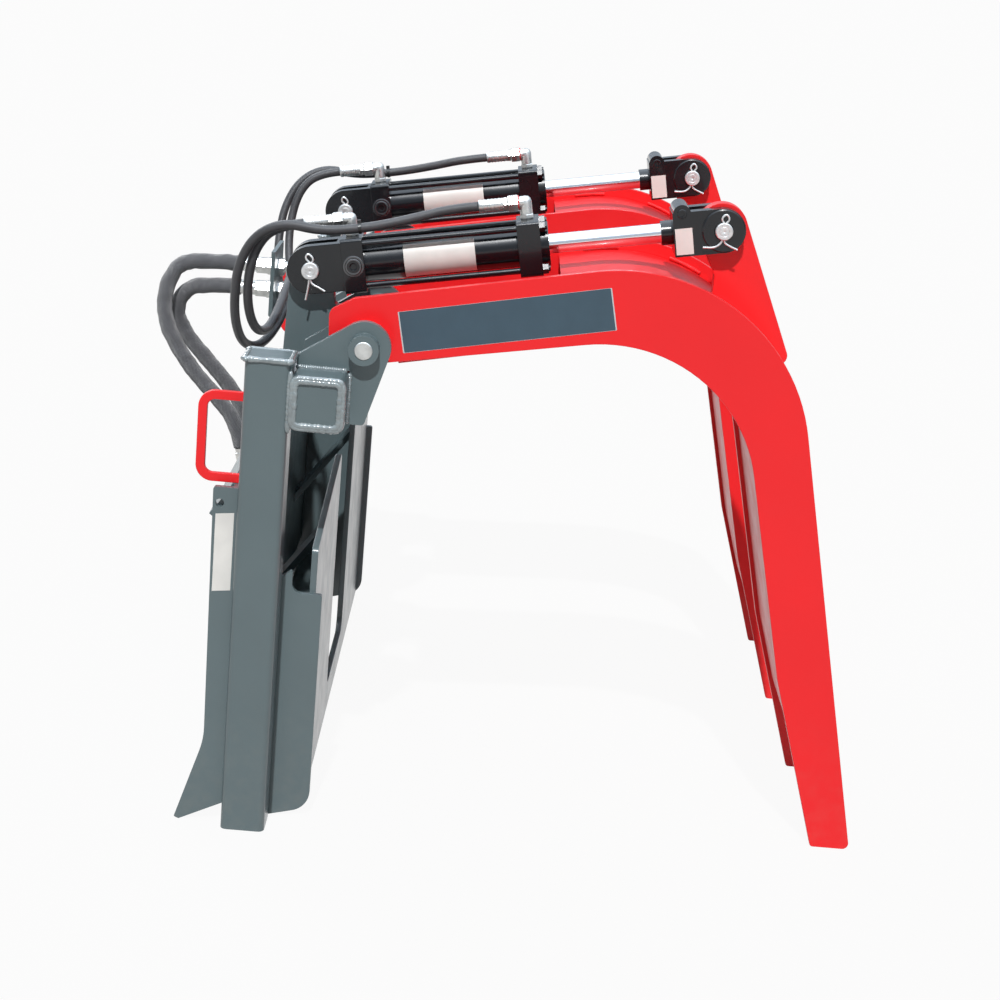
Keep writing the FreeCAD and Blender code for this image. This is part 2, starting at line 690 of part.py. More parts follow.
def buildBulkhead():
    back = bulkheadX - bulkheadPlate
    footTop = bulkheadFootZ + bulkheadPlate
    corners = [(bulkheadX, bulkheadTopZ, 0), (back, bulkheadTopZ, 0), (back, bulkheadFootZ, 4.0)]
    corners += [(postFrontX, bulkheadFootZ, 0), (postFrontX, footTop, 0), (bulkheadX, footTop, 0)]
    plate = plateXZ(corners, 0, 2 * bulkheadHalf)
    fittings = []
    for z in portHeights:
        plate = plate.cut(roundBarX(0, z, fittingRadius, back - 1, bulkheadX + 1))
        stem = roundBarX(0, z, fittingRadius, back - fittingNutLength, teeX)
        half = teeSide / 2
        tee = box(teeX - half, teeX + half, -half, half, z - half, z + half)
        nuts = [hexagon(0, z, fittingNutAcross, back - fittingNutLength, back)]
        nuts.append(hexagon(0, z, fittingNutAcross, bulkheadX, bulkheadX + fittingNutLength))
        swivelStart = back - fittingNutLength - supplyNutLength
        nuts.append(hexagon(0, z, fittingNutAcross - 2, swivelStart, back - fittingNutLength))
        nuts.append(roundBarX(0, z, supplyFerruleRadius, swivelStart - supplyFerruleLength, swivelStart))
        for side in (-1, 1):
            nut = hexagon(0, 0, nutAcross, teeSide / 2, teeSide / 2 + nutLength)
            nut = nut.fuse(roundBarX(0, 0, ferruleRadius, teeSide / 2 + nutLength, teeReach()))
            nut.rotate(Vector(0, 0, 0), Vector(0, 0, 1), side * 90)
            nut.translate(Vector(teeX, 0, z))
            nuts.append(nut)
        fittings.append(stem.fuse([tee] + nuts).removeSplitter())
    save("bulkhead_bracket", plate)
    save("bulkhead_fittings", Part.makeCompound(fittings))


def teeReach():
    return teeSide / 2 + nutLength + teeFerruleLength


# Hoses: each is a tube along straight runs joined by tangent arcs
supplyRadius = 12.0
couplerRadius = 14.0
couplerSleeve = 25.0
couplerNose = 37.0


def onBarrel(u, outward, v, side):
    """Point beside a cylinder, given along it, outward from the middle and up from its axis."""
    angle = math.radians(cylinderAngle)
    x = basePinX + u * math.cos(angle) - v * math.sin(angle)
    z = basePinZ + u * math.sin(angle) + v * math.cos(angle)
    return x, side * (tineSpacing + outward), z


def inward(x, distance, z, side):
    """Point of the frame, given its distance from the cylinder plane towards the middle."""
    return x, side * (tineSpacing - distance), z


def tubeAlong(name, points, radius):
    vectors = [Vector(*point) for point in points]
    edges = []
    start = vectors[0]
    radii = []
    for before, corner, after in zip(vectors, vectors[1:], vectors[2:]):
        back = (before - corner).normalize()
        ahead = (after - corner).normalize()
        halfTurn = (math.pi - back.getAngle(ahead)) / 2
        reach = 0.45 * min((before - corner).Length, (after - corner).Length)
        bend = reach / math.tan(halfTurn)
        radii.append(round(bend))
        bisector = (back + ahead).normalize()
        middle = corner + bisector * (bend / math.cos(halfTurn) - bend)
        arcStart = corner + back * reach
        arcEnd = corner + ahead * reach
        edges.append(Part.LineSegment(start, arcStart).toShape())
        edges.append(Part.Arc(arcStart, middle, arcEnd).toShape())
        start = arcEnd
    edges.append(Part.LineSegment(start, vectors[-1]).toShape())
    path = Part.Wire(edges)
    section = Part.Wire(Part.makeCircle(radius, vectors[0], vectors[1] - vectors[0]))
    tube = path.makePipeShell([section], True, False)
    expected = math.pi * radius ** 2 * path.Length
    ratio = round(tube.Volume / expected, 4)
    print(name, "length", round(path.Length), "radii", radii, "volume ratio", ratio, tube.isValid())
    save(name, tube)
    return vectors[-1], (vectors[-1] - vectors[-2]).normalize()


def buildCylinderHoses():
    portV = elbowPortV
    toFerrule = elbowBody / 2 + nutLength + ferruleLength
    baseU = baseCapStart + portInset - toFerrule
    headU = headCapStart + portInset - toFerrule
    upper, lower = portHeights
    for name, side in (("left", -1), ("right", 1)):
        route = [onBarrel(baseU, 0, portV, side), onBarrel(baseU - 40, 0, portV, side)]
        route += [inward(-180, 4, 96, side), inward(-192, 12, 48, side), inward(-192, 28, -4, side)]
        route += [inward(-182, 58, -44, side), inward(-168, 102, -52, side), inward(-156, 148, -22, side)]
        route += [(teeX, side * (teeReach() + 46), upper), (teeX, side * teeReach(), upper)]
        tubeAlong(name + "_base_hose", route, hoseRadius)
        route = [onBarrel(headU, 0, portV, side), onBarrel(headU - 43, 0, portV, side)]
        route += [onBarrel(162, 8, 58, side), onBarrel(114, 18, 53, side), onBarrel(64, 22, 51.5, side)]
        route += [onBarrel(16, 22, 54.5, side), inward(-140, -20, 135, side), inward(-182, -12, 112, side)]
        route += [inward(-206, 0, 64, side), inward(-211, 16, 10, side), inward(-209, 32, -32, side)]
        route += [inward(-200, 60, -66, side), inward(-182, 100, -79, side), inward(-163, 146, -62, side)]
        route += [(teeX, side * (teeReach() + 48), lower), (teeX, side * teeReach(), lower)]
        tubeAlong(name + "_head_hose", route, hoseRadius)


def buildSupplyHoses():
    startX = bulkheadX - bulkheadPlate - fittingNutLength - supplyNutLength - supplyFerruleLength
    upper, lower = portHeights
    outer = [(startX, 0, upper), (startX - 46, 0, upper), (-330, -4, -4), (-358, -10, -44), (-356, -18, -92)]
    outer += [(-334, -24, -134), (-304, -28, -172), (-272, -30, -206), (-246, -31, -244), (-233, -31, -287)]
    inner = [(startX, 0, lower), (startX - 46, 0, lower), (-322, 10, -40), (-342, 18, -76), (-328, 24, -114)]
    inner += [(-297, 27, -146), (-264, 29, -178), (-239, 30, -214), (-226, 30, -256)]
    for name, route in (("upper", outer), ("lower", inner)):
        end, direction = tubeAlong(name + "_supply_hose", route, supplyRadius)
        body = Part.makeCylinder(couplerRadius - 2, couplerSleeve, end, direction)
        nose = Part.makeCylinder(couplerRadius, couplerNose, end + direction * couplerSleeve, direction)
        save(name + "_coupler", body.fuse(nose).removeSplitter())


buildPosts()
buildCrossTubes()
buildEars()
buildBaseLugs()
buildFront()
buildBraces()
buildQuickAttach()
buildHandles()
buildArms()
buildBarrels()
buildRods()
buildElbows()
buildBulkhead()
buildCylinderHoses()
buildSupplyHoses()
print("saved", len(os.listdir("parts")), "parts")
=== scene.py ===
import bpy
import bmesh
import json
import math
from mathutils import Vector, Matrix


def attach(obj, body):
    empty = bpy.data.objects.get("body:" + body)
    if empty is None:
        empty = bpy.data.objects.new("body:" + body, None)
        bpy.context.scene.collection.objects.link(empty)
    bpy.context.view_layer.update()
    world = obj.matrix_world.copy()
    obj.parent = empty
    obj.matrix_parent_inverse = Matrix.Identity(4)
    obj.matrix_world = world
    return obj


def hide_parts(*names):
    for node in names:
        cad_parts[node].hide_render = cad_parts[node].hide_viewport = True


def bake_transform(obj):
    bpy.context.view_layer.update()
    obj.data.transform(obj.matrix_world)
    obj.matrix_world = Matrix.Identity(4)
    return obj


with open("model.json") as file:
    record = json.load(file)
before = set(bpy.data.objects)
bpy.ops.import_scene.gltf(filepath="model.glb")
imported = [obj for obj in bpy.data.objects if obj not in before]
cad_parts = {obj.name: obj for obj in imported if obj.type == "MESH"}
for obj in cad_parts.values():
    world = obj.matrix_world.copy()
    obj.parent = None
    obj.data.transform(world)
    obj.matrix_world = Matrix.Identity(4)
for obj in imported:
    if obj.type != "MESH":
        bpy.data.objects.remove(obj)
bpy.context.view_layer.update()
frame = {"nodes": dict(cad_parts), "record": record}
nodes = frame["nodes"]
scene = bpy.context.scene
scene.view_settings.view_transform = "Standard"
print("frame loaded,", len(nodes), "nodes")

# Lengths of the grapple are given in millimetres from the arm pivot, as on its drawing
pivot = {"x": -271.0, "z": 712.0}


def place(x, y, z):
    return Vector(((x + pivot["x"]) / 1000, y / 1000, (z + pivot["z"]) / 1000))


# Camera
cameraView = {
    "lens": 75.6,
    "place": (-0.0983, -3.35815, 1.3204),
    "right": (0.99629, 0.01282, 0.08516),
    "up": (-0.08541, 0.27343, 0.95809),
    "forward": (0.01100, 0.96181, -0.27351),
}


def makeCamera(values):
    data = bpy.data.cameras.new("viewpoint")
    data.lens = values["lens"]
    data.sensor_width = 36
    data.clip_end = 200
    camera = bpy.data.objects.new("viewpoint", data)
    scene.collection.objects.link(camera)
    right, up, forward = (Vector(values[key]) for key in ("right", "up", "forward"))
    turn = Matrix((right, up, -forward)).transposed().to_4x4()
    camera.matrix_world = Matrix.Translation(Vector(values["place"])) @ turn
    scene.camera = camera


makeCamera(cameraView)

# Mesh helpers


def linkMesh(name, mesh, material=None):
    obj = bpy.data.objects.new(name, mesh)
    scene.collection.objects.link(obj)
    if material and not mesh.materials:
        mesh.materials.append(material)
    return obj


def meshFrom(bm, name, smoothAngle=35):
    bmesh.ops.remove_doubles(bm, verts=bm.verts, dist=1e-6)
    bmesh.ops.recalc_face_normals(bm, faces=bm.faces)
    mesh = bpy.data.meshes.new(name)
    bm.to_mesh(mesh)
    bm.free()
    for polygon in mesh.polygons:
        polygon.use_smooth = True
    mesh.set_sharp_from_angle(angle=math.radians(smoothAngle))
    return mesh


def frameAlong(start, direction):
    # matrix whose Z axis lies along a direction, at a start point
    turn = direction.normalized().to_track_quat("Z", "Y").to_matrix().to_4x4()
    return Matrix.Translation(start) @ turn


def latheInto(bm, matrix, profile, sides=32):
    # closed turned form round the matrix's Z axis from (radius, along) pairs in millimetres
    rings = []
    for radius, along in profile:
        if radius == 0:
            rings.append([bm.verts.new(matrix @ Vector((0, 0, along / 1000)))])
            continue
        ring = []
        for k in range(sides):
            angle = 2 * math.pi * k / sides
            point = Vector((radius * math.cos(angle), radius * math.sin(angle), along)) / 1000
            ring.append(bm.verts.new(matrix @ point))
        rings.append(ring)
    for a, b in zip(rings, rings[1:]):
        for k in range(sides):
            n = (k + 1) % sides
            if len(a) == 1 and len(b) > 1:
                bm.faces.new((a[0], b[k], b[n]))
            elif len(b) == 1 and len(a) > 1:
                bm.faces.new((a[k], a[n], b[0]))
            elif len(a) > 1:
                bm.faces.new((a[k], a[n], b[n], b[k]))


def prismInto(bm, matrix, corners, low, high, bevel=0.4):
    # prism of (x, y) corners from low to high along the matrix's Z axis, millimetres
    faces = []
    levels = [(low, 1 - bevel / 10), (low + bevel, 1), (high - bevel, 1), (high, 1 - bevel / 10)]
    for along, share in levels:
        ring = [Vector((x * share, y * share, along)) / 1000 for x, y in corners]
        faces.append([bm.verts.new(matrix @ point) for point in ring])
    count = len(corners)
    for a, b in zip(faces, faces[1:]):
        for k in range(count):
            bm.faces.new((a[k], a[(k + 1) % count], b[(k + 1) % count], b[k]))
    bm.faces.new(faces[0])
    bm.faces.new(faces[-1])


def hexCorners(across):
    radius = across / math.sqrt(3)
    turns = [math.radians(60 * k) for k in range(6)]
    return [(radius * math.cos(turn), radius * math.sin(turn)) for turn in turns]


def rounded(points, times=3):
    # cuts a line's corners again and again, and keeps its ends
    for _ in range(times):
        cut = [points[0]]
        for a, b in zip(points, points[1:]):
            cut += [a * 0.75 + b * 0.25, a * 0.25 + b * 0.75]
        points = cut + [points[-1]]
    return points


def wireInto(bm, line, radius, sides=10):
    # round wire along a line, closed at both ends
    tangent = (line[1] - line[0]).normalized()
    side = tangent.orthogonal().normalized()
    rings = []
    for index, point in enumerate(line):
        fresh = (line[min(index + 1, len(line) - 1)] - line[max(index - 1, 0)]).normalized()
        side = (tangent.rotation_difference(fresh) @ side).normalized()
        tangent = fresh
        up = tangent.cross(side)
        turns = [2 * math.pi * k / sides for k in range(sides)]
        rings.append([bm.verts.new(point + (side * math.cos(t) + up * math.sin(t)) * radius) for t in turns])
    for a, b in zip(rings, rings[1:]):
        for k in range(sides):
            n = (k + 1) % sides
            bm.faces.new((a[k], a[n], b[n], b[k]))
    bm.faces.new(rings[0])
    bm.faces.new(rings[-1])


# Materials: every one varies in colour, roughness and relief over the surface


class Shader:
    def __init__(self, name):
        self.material = bpy.data.materials.new(name)
        self.material.use_nodes = True
        tree = self.material.node_tree
        self.nodes = tree.nodes
        self.links = tree.links
        self.surface = self.nodes["Principled BSDF"]

    def add(self, kind, **values):
        node = self.nodes.new(kind)
        for key, value in values.items():
            setattr(node, key, value)
        return node

    def link(self, a, b):
        self.links.new(a, b)

    def noise(self, coordinates, scale, detail=3, stretch=None):
        source = coordinates
        if stretch:
            mapping = self.add("ShaderNodeMapping")
            mapping.inputs["Scale"].default_value = stretch
            self.link(coordinates, mapping.inputs["Vector"])
            source = mapping.outputs["Vector"]
        node = self.add("ShaderNodeTexNoise")
        node.inputs["Scale"].default_value = scale
        node.inputs["Detail"].default_value = detail
        self.link(source, node.inputs["Vector"])
        return node.outputs["Fac"]

    def ramp(self, factor, stops):
        node = self.add("ShaderNodeValToRGB")
        elements = node.color_ramp.elements
        while len(elements) < len(stops):
            elements.new(0.5)
        for element, (position, colour) in zip(elements, stops):
            element.position = position
            element.color = (*colour, 1)
        self.link(factor, node.inputs["Fac"])
        return node.outputs["Color"]

    def span(self, factor, low, high, fromLow=0.3, fromHigh=0.7):
        node = self.add("ShaderNodeMapRange")
        node.inputs["From Min"].default_value = fromLow
        node.inputs["From Max"].default_value = fromHigh
        node.inputs["To Min"].default_value = low
        node.inputs["To Max"].default_value = high
        self.link(factor, node.inputs["Value"])
        return node.outputs["Result"]

    def bump(self, heights):
        last = None
        for height, strength, distance in heights:
            node = self.add("ShaderNodeBump")
            node.inputs["Strength"].default_value = strength
            node.inputs["Distance"].default_value = distance
            self.link(height, node.inputs["Height"])
            if last:
                self.link(last, node.inputs["Normal"])
            last = node.outputs["Normal"]
        self.link(last, self.surface.inputs["Normal"])

    def coordinates(self, kind="Object"):
        return self.add("ShaderNodeTexCoord").outputs[kind]

    def mix(self, factor, a, b):
        node = self.add("ShaderNodeMix", data_type="RGBA")
        self.link(factor, node.inputs["Factor"])
        for value, socket in ((a, node.inputs["A"]), (b, node.inputs["B"])):
            if isinstance(value, tuple):
                socket.default_value = (*value, 1)
            else:
                self.link(value, socket)
        return node.outputs["Result"]


def shade(colour, share):
    return tuple(min(1.0, channel * share) for channel in colour)


def makePaint(name, values):
    s = Shader(name)
    where = s.coordinates()
    cloud = s.noise(where, values["cloudScale"], 4)
    colour = values["colour"]
    darker, lighter = shade(colour, 1 - values["cloud"]), shade(colour, 1 + values["cloud"])
    tone = s.ramp(cloud, [(0.3, darker), (0.7, lighter)])
    # dust gathers towards the ground
    height = s.add("ShaderNodeSeparateXYZ")
    s.link(where, height.inputs["Vector"])
    low = s.span(height.outputs["Z"], 1.0, 0.0, 0.0, values["dustHeight"])
    specks = s.span(s.noise(where, 55, 6), 0.0, values["dust"], 0.42, 0.72)
    amount = s.add("ShaderNodeMath", operation="MULTIPLY")
    s.link(low, amount.inputs[0])
    s.link(specks, amount.inputs[1])
    s.link(s.mix(amount.outputs[0], tone, values["dustColour"]), s.surface.inputs["Base Color"])
    rough = s.span(s.noise(where, 24, 4), values["roughness"] - 0.05, values["roughness"] + 0.08)
    s.link(rough, s.surface.inputs["Roughness"])
    s.surface.inputs["Specular IOR Level"].default_value = values["specular"]
    s.surface.inputs["Coat Weight"].default_value = values["coat"]
    s.surface.inputs["Coat Roughness"].default_value = values["coatRoughness"]
    peel = s.noise(where, 420, 2)
    ripple = s.noise(where, 38, 2)
    s.bump([(peel, values["peel"], 0.0006), (ripple, values["peel"], 0.002)])
    return s.material


redPaint = {
    "colour": (0.86, 0.020, 0.024), "cloudScale": 6, "cloud": 0.03, "dustHeight": 0.22, "dust": 0.10,
    "dustColour": (0.60, 0.20, 0.17), "roughness": 0.36, "coat": 0.12, "coatRoughness": 0.12, "peel": 0.02,
    "specular": 0.24,
}
grayPaint = {
    "colour": (0.100, 0.138, 0.148), "cloudScale": 7, "cloud": 0.05, "dustHeight": 0.25, "dust": 0.10,
    "dustColour": (0.30, 0.27, 0.22), "roughness": 0.34, "coat": 0.35, "coatRoughness": 0.16, "peel": 0.10,
    "specular": 0.45,
}
blackPaint = {
    "colour": (0.006, 0.007, 0.009), "cloudScale": 9, "cloud": 0.2, "dustHeight": 0.10, "dust": 0.05,
    "dustColour": (0.10, 0.09, 0.08), "roughness": 0.22, "coat": 0.30, "coatRoughness": 0.04, "peel": 0.05,
    "specular": 0.36,
}
# weld beads under the frame's gray paint, with their colour lightened well above that gray as a painted highlight
# on top of their real gloss
weldHighlightPaint = {
    "colour": (0.20, 0.24, 0.25), "cloudScale": 60, "cloud": 0.25, "dustHeight": 0.10, "dust": 0.2,
    "dustColour": (0.30, 0.27, 0.22), "roughness": 0.18, "coat": 1.0, "coatRoughness": 0.06, "peel": 0.08,
    "specular": 0.90,
}
redWeld = dict(redPaint, colour=(0.80, 0.03, 0.035), cloudScale=60, cloud=0.12)


def makeMetal(name, values):
    s = Shader(name)
    where = s.coordinates()
    cloud = s.noise(where, values["cloudScale"], 5)
    colour = values["colour"]
    tone = s.ramp(cloud, [(0.3, shade(colour, 0.82)), (0.7, shade(colour, 1.12))])
    s.link(tone, s.surface.inputs["Base Color"])
    s.surface.inputs["Metallic"].default_value = values["metallic"]
    rough = s.span(s.noise(where, values["streakScale"], 3, values["streak"]), values["smooth"], values["dull"])
    s.link(rough, s.surface.inputs["Roughness"])
    s.bump([(s.noise(where, values["streakScale"], 3, values["streak"]), values["relief"], 0.0004)])
    return s.material


zincPlate = {
    "colour": (0.60, 0.60, 0.58), "metallic": 0.9, "cloudScale": 70, "streakScale": 160, "streak": (1, 1, 1),
    "smooth": 0.24, "dull": 0.42, "relief": 0.12,
}
pinSteel = {
    "colour": (0.70, 0.70, 0.69), "metallic": 0.75, "cloudScale": 120, "streakScale": 300, "streak": (1, 1, 1),
    "smooth": 0.30, "dull": 0.50, "relief": 0.25,
}
chromePlate = {
    "colour": (0.80, 0.81, 0.83), "metallic": 1.0, "cloudScale": 4, "streakScale": 260, "streak": (1, 0.05, 0.05),
    "smooth": 0.10, "dull": 0.20, "relief": 0.05,
}


def makeRubber(name, values):
    # rubber hose whose cover keeps the fine print of the cloth it was cured in
    s = Shader(name)
    where = s.coordinates("UV")
    parts = s.add("ShaderNodeSeparateXYZ")
    s.link(where, parts.inputs["Vector"])
    waves = []
    for sign in (1, -1):
        lean = s.add("ShaderNodeMath", operation="MULTIPLY_ADD")
        s.link(parts.outputs["X"], lean.inputs[0])
        lean.inputs[1].default_value = sign * values["lean"]
        s.link(parts.outputs["Y"], lean.inputs[2])
        turn = s.add("ShaderNodeMath", operation="MULTIPLY")
        s.link(lean.outputs[0], turn.inputs[0])
        turn.inputs[1].default_value = 2 * math.pi / values["pitch"]
        wave = s.add("ShaderNodeMath", operation="SINE")
        s.link(turn.outputs[0], wave.inputs[0])
        waves.append(wave.outputs[0])
    weave = s.add("ShaderNodeMath", operation="MAXIMUM")
    s.link(waves[0], weave.inputs[0])
    s.link(waves[1], weave.inputs[1])
    place3d = s.coordinates()
    cloud = s.noise(place3d, 35, 4)
    colour = values["colour"]
    base = s.ramp(cloud, [(0.3, shade(colour, 0.7)), (0.7, shade(colour, 1.4))])
    thread = s.span(weave.outputs[0], 0.0, values["threadShow"], -0.6, 1.0)
    s.link(s.mix(thread, base, values["threadColour"]), s.surface.inputs["Base Color"])
    s.link(s.span(cloud, values["roughness"] - 0.06, values["roughness"] + 0.08), s.surface.inputs["Roughness"])
    s.surface.inputs["Sheen Weight"].default_value = values["sheen"]
    folds = s.noise(place3d, values["foldScale"], 4)
    s.bump([(weave.outputs[0], values["weaveRelief"], 0.0005), (folds, values["wrinkle"], values["foldDepth"])])
    return s.material


hoseRubber = {
    "colour": (0.030, 0.030, 0.033), "threadColour": (0.08, 0.08, 0.085), "threadShow": 0.4, "lean": 0.6,
    "pitch": 0.0016, "roughness": 0.42, "sheen": 0.1, "weaveRelief": 0.25, "wrinkle": 0.10,
    "foldScale": 90, "foldDepth": 0.0015,
}
sleeveCloth = {
    "colour": (0.020, 0.021, 0.025), "threadColour": (0.15, 0.155, 0.17), "threadShow": 0.85, "lean": 1.2,
    "pitch": 0.0034, "roughness": 0.60, "sheen": 0.6, "weaveRelief": 1.0, "wrinkle": 0.9,
    "foldScale": 48, "foldDepth": 0.004,
}


def makeFilm(name, colour, roughness):
    # blank printed film, with the faint mottle of a sticker on painted steel
    s = Shader(name)
    where = s.coordinates()
    s.link(s.ramp(s.noise(where, 30, 4), [(0.3, shade(colour, 0.93)), (0.7, shade(colour, 1.05))]),
           s.surface.inputs["Base Color"])
    s.link(s.span(s.noise(where, 80, 3), roughness - 0.05, roughness + 0.07), s.surface.inputs["Roughness"])
    s.bump([(s.noise(where, 120, 3), 0.08, 0.0005)])
    return s.material


finish = {
    "red": makePaint("redPaint", redPaint),
    "gray": makePaint("grayPaint", grayPaint),
    "black": makePaint("blackPaint", blackPaint),
    "weld": makePaint("weldHighlightPaint", weldHighlightPaint),
    "redWeld": makePaint("redWeld", redWeld),
    "zinc": makeMetal("zincPlate", zincPlate),
    "chrome": makeMetal("chromePlate", chromePlate),
    "rubber": makeRubber("hoseRubber", hoseRubber),
    "sleeve": makeRubber("sleeveCloth", sleeveCloth),
    "panel": makeFilm("panelFilm", (0.042, 0.078, 0.108), 0.38),
    "border": makeFilm("borderFilm", (0.52, 0.55, 0.57), 0.38),
    "sticker": makeFilm("stickerFilm", (0.74, 0.73, 0.70), 0.40),
    "pin": makeMetal("pinSteel", pinSteel),
    "plug": makePaint("plugSteel", dict(blackPaint, colour=(0.030, 0.032, 0.036), specular=0.9, coat=0.5)),
    "redBand": makeFilm("bandFilm", (0.60, 0.02, 0.02), 0.35),
    "tie": makeFilm("tieNylon", (0.012, 0.012, 0.012), 0.35),
}
print("materials made,", len(finish))

# CAD nodes: finish by slot, and small rounded edges that catch the light
slotFinish = {
    "red_paint": "red", "gray_paint": "gray", "black_paint": "black", "hard_chrome": "chrome",
    "zinc_steel": "zinc", "hose_rubber": "rubber",
}
edgeRounding = {
    "tine": 1.0, "skin": 0.8, "rod_lug": 1.5, "post": 0.8, "plate": 0.9, "gusset": 1.0, "handle": 1.8,
    "lug": 1.8, "cap": 1.5, "clevis": 2.0, "flange": 1.0, "braces": 1.0, "bracket": 0.8, "crosstube": 0.8,
    "ears_1": 1.4, "ears_2": 1.4, "ears_3": 1.4, "ears_4": 1.4, "tube": 0.8, "fittings": 0.4,
}


def makeSharpTree(limit):
    # marks edges steeper than a limit as sharp, so that flat faces stay flat and bends stay smooth
    tree = bpy.data.node_groups.new("sharpEdges", "GeometryNodeTree")
    tree.interface.new_socket("Geometry", in_out="INPUT", socket_type="NodeSocketGeometry")
    angle = tree.interface.new_socket("Sharp Angle", in_out="INPUT", socket_type="NodeSocketFloat")
    angle.default_value = math.radians(limit)
    tree.interface.new_socket("Geometry", in_out="OUTPUT", socket_type="NodeSocketGeometry")
    source = tree.nodes.new("NodeGroupInput")
    out = tree.nodes.new("NodeGroupOutput")
    smoothAll = tree.nodes.new("GeometryNodeSetShadeSmooth")
    smoothAll.domain = "FACE"
    edge = tree.nodes.new("GeometryNodeInputMeshEdgeAngle")
    steeper = tree.nodes.new("FunctionNodeCompare")
    steeper.operation = "GREATER_THAN"
    sharp = tree.nodes.new("GeometryNodeSetShadeSmooth")
    sharp.domain = "EDGE"
    sharp.inputs["Shade Smooth"].default_value = False
    link = tree.links.new
    link(source.outputs["Geometry"], smoothAll.inputs["Geometry"])
    link(edge.outputs["Unsigned Angle"], steeper.inputs["A"])
    link(source.outputs["Sharp Angle"], steeper.inputs["B"])
    link(smoothAll.outputs["Geometry"], sharp.inputs["Geometry"])
    link(steeper.outputs["Result"], sharp.inputs["Selection"])
    link(sharp.outputs["Geometry"], out.inputs["Geometry"])
    return tree


def dressNodes():
    sharpTree = makeSharpTree(34)
    slots = {part["node"]: part["material_slot"] for part in frame["record"]["subparts"]}
    for name, obj in nodes.items():
        material = finish[slotFinish[slots[name]]]
        obj.data.materials.clear()
        obj.data.materials.append(material)
        if name.endswith(("_hose", "_coupler")):
            continue
        weld = obj.modifiers.new("merge", "WELD")
        weld.merge_threshold = 0.00002
        flat = obj.modifiers.new("flats", "DECIMATE")
        flat.decimate_type = "DISSOLVE"
        flat.angle_limit = math.radians(0.6)
        width = next((size for end, size in edgeRounding.items() if name.endswith(end)), 0)
        if width:
            bevel = obj.modifiers.new("edges", "BEVEL")
            bevel.width = width / 1000
            bevel.segments = 2
            bevel.limit_method = "ANGLE"
            bevel.angle_limit = math.radians(38)
            bevel.use_clamp_overlap = True
        sharp = obj.modifiers.new("sharp", "NODES")
        sharp.node_group = sharpTree
        normals = obj.modifiers.new("normals", "WEIGHTED_NORMAL")
        normals.keep_sharp = True


dressNodes()
print("nodes dressed")

# Hoses: routes repeated from the drawing, with the cylinder's own directions
cylinder = {"baseX": -96.0, "baseZ": 71.0, "rodX": 494.0, "rodZ": 180.0, "spacing": 305.0}
ports = {"baseU": -5.0, "headU": 251.0, "v": 64.0, "tee": 65.0, "teeX": -150.0, "upper": 12.0, "lower": -26.0}
cylinderAngle = math.atan2(cylinder["rodZ"] - cylinder["baseZ"], cylinder["rodX"] - cylinder["baseX"])


def onBarrel(u, outward, v, side):
    x = cylinder["baseX"] + u * math.cos(cylinderAngle) - v * math.sin(cylinderAngle)
    z = cylinder["baseZ"] + u * math.sin(cylinderAngle) + v * math.cos(cylinderAngle)
    return place(x, side * (cylinder["spacing"] + outward), z)


def inward(x, distance, z, side):
    return place(x, side * (cylinder["spacing"] - distance), z)


def readRoute(points, spacing=0.004):
    # points at an even spacing on the smooth spline that a route's points control
    curve = bpy.data.curves.new("route", "CURVE")
    curve.dimensions = "3D"
    curve.resolution_u = 24
    spline = curve.splines.new("NURBS")
    spline.points.add(len(points) - 1)
    for target, point in zip(spline.points, points):
        target.co = (*point, 1)
    spline.order_u = 3
    spline.use_endpoint_u = True
    obj = bpy.data.objects.new("route", curve)
    scene.collection.objects.link(obj)
    bpy.context.view_layer.update()
    mesh = bpy.data.meshes.new_from_object(obj.evaluated_get(bpy.context.evaluated_depsgraph_get()))
    dense = [vertex.co.copy() for vertex in mesh.vertices]
    bpy.data.objects.remove(obj)
    bpy.data.curves.remove(curve)
    bpy.data.meshes.remove(mesh)
    if (dense[0] - Vector(points[0])).length > (dense[-1] - Vector(points[0])).length:
        dense.reverse()
    distances = [0.0]
    for a, b in zip(dense, dense[1:]):
        distances.append(distances[-1] + (b - a).length)
    total = distances[-1]
    count = max(8, round(total / spacing))
    line, index = [], 0
    for k in range(count + 1):
        wanted = total * k / count
        while index < len(dense) - 2 and distances[index + 1] < wanted:
            index += 1
        step = distances[index + 1] - distances[index]
        share = (wanted - distances[index]) / step if step > 0 else 0
        line.append(dense[index].lerp(dense[index + 1], min(1.0, max(0.0, share))))
    return line, total


def tubeMesh(name, line, radiusAt, sides=28):
    # round tube along a line, with a UV map in metres: X round the tube, Y along it
    bm = bmesh.new()
    uvLayer = bm.loops.layers.uv.new("UVMap")
    tangent = (line[1] - line[0]).normalized()
    side = tangent.orthogonal().normalized()
    rings, along = [], [0.0]
    for index, point in enumerate(line):
        before = line[max(index - 1, 0)]
        after = line[min(index + 1, len(line) - 1)]
        fresh = (after - before).normalized()
        side = (tangent.rotation_difference(fresh) @ side).normalized()
        tangent = fresh
        up = tangent.cross(side)
        ring = []
        for k in range(sides):
            angle = 2 * math.pi * k / sides
            radius = radiusAt(index / (len(line) - 1), angle)
            ring.append(bm.verts.new(point + (side * math.cos(angle) + up * math.sin(angle)) * radius))
        rings.append(ring)
        if index:
            along.append(along[-1] + (point - line[index - 1]).length)
    around = 2 * math.pi * radiusAt(0.5, 0)
    for index, (a, b) in enumerate(zip(rings, rings[1:])):
        for k in range(sides):
            n = (k + 1) % sides
            face = bm.faces.new((a[k], a[n], b[n], b[k]))
            face.smooth = True
            corners = ((k, index), (k + 1, index), (k + 1, index + 1), (k, index + 1))
            for loop, (turn, step) in zip(face.loops, corners):
                loop[uvLayer].uv = (around * turn / sides, along[step])
    bm.faces.new(list(reversed(rings[0])))
    bm.faces.new(rings[-1])
    mesh = bpy.data.meshes.new(name)
    bm.normal_update()
    bm.to_mesh(mesh)
    bm.free()
    return mesh


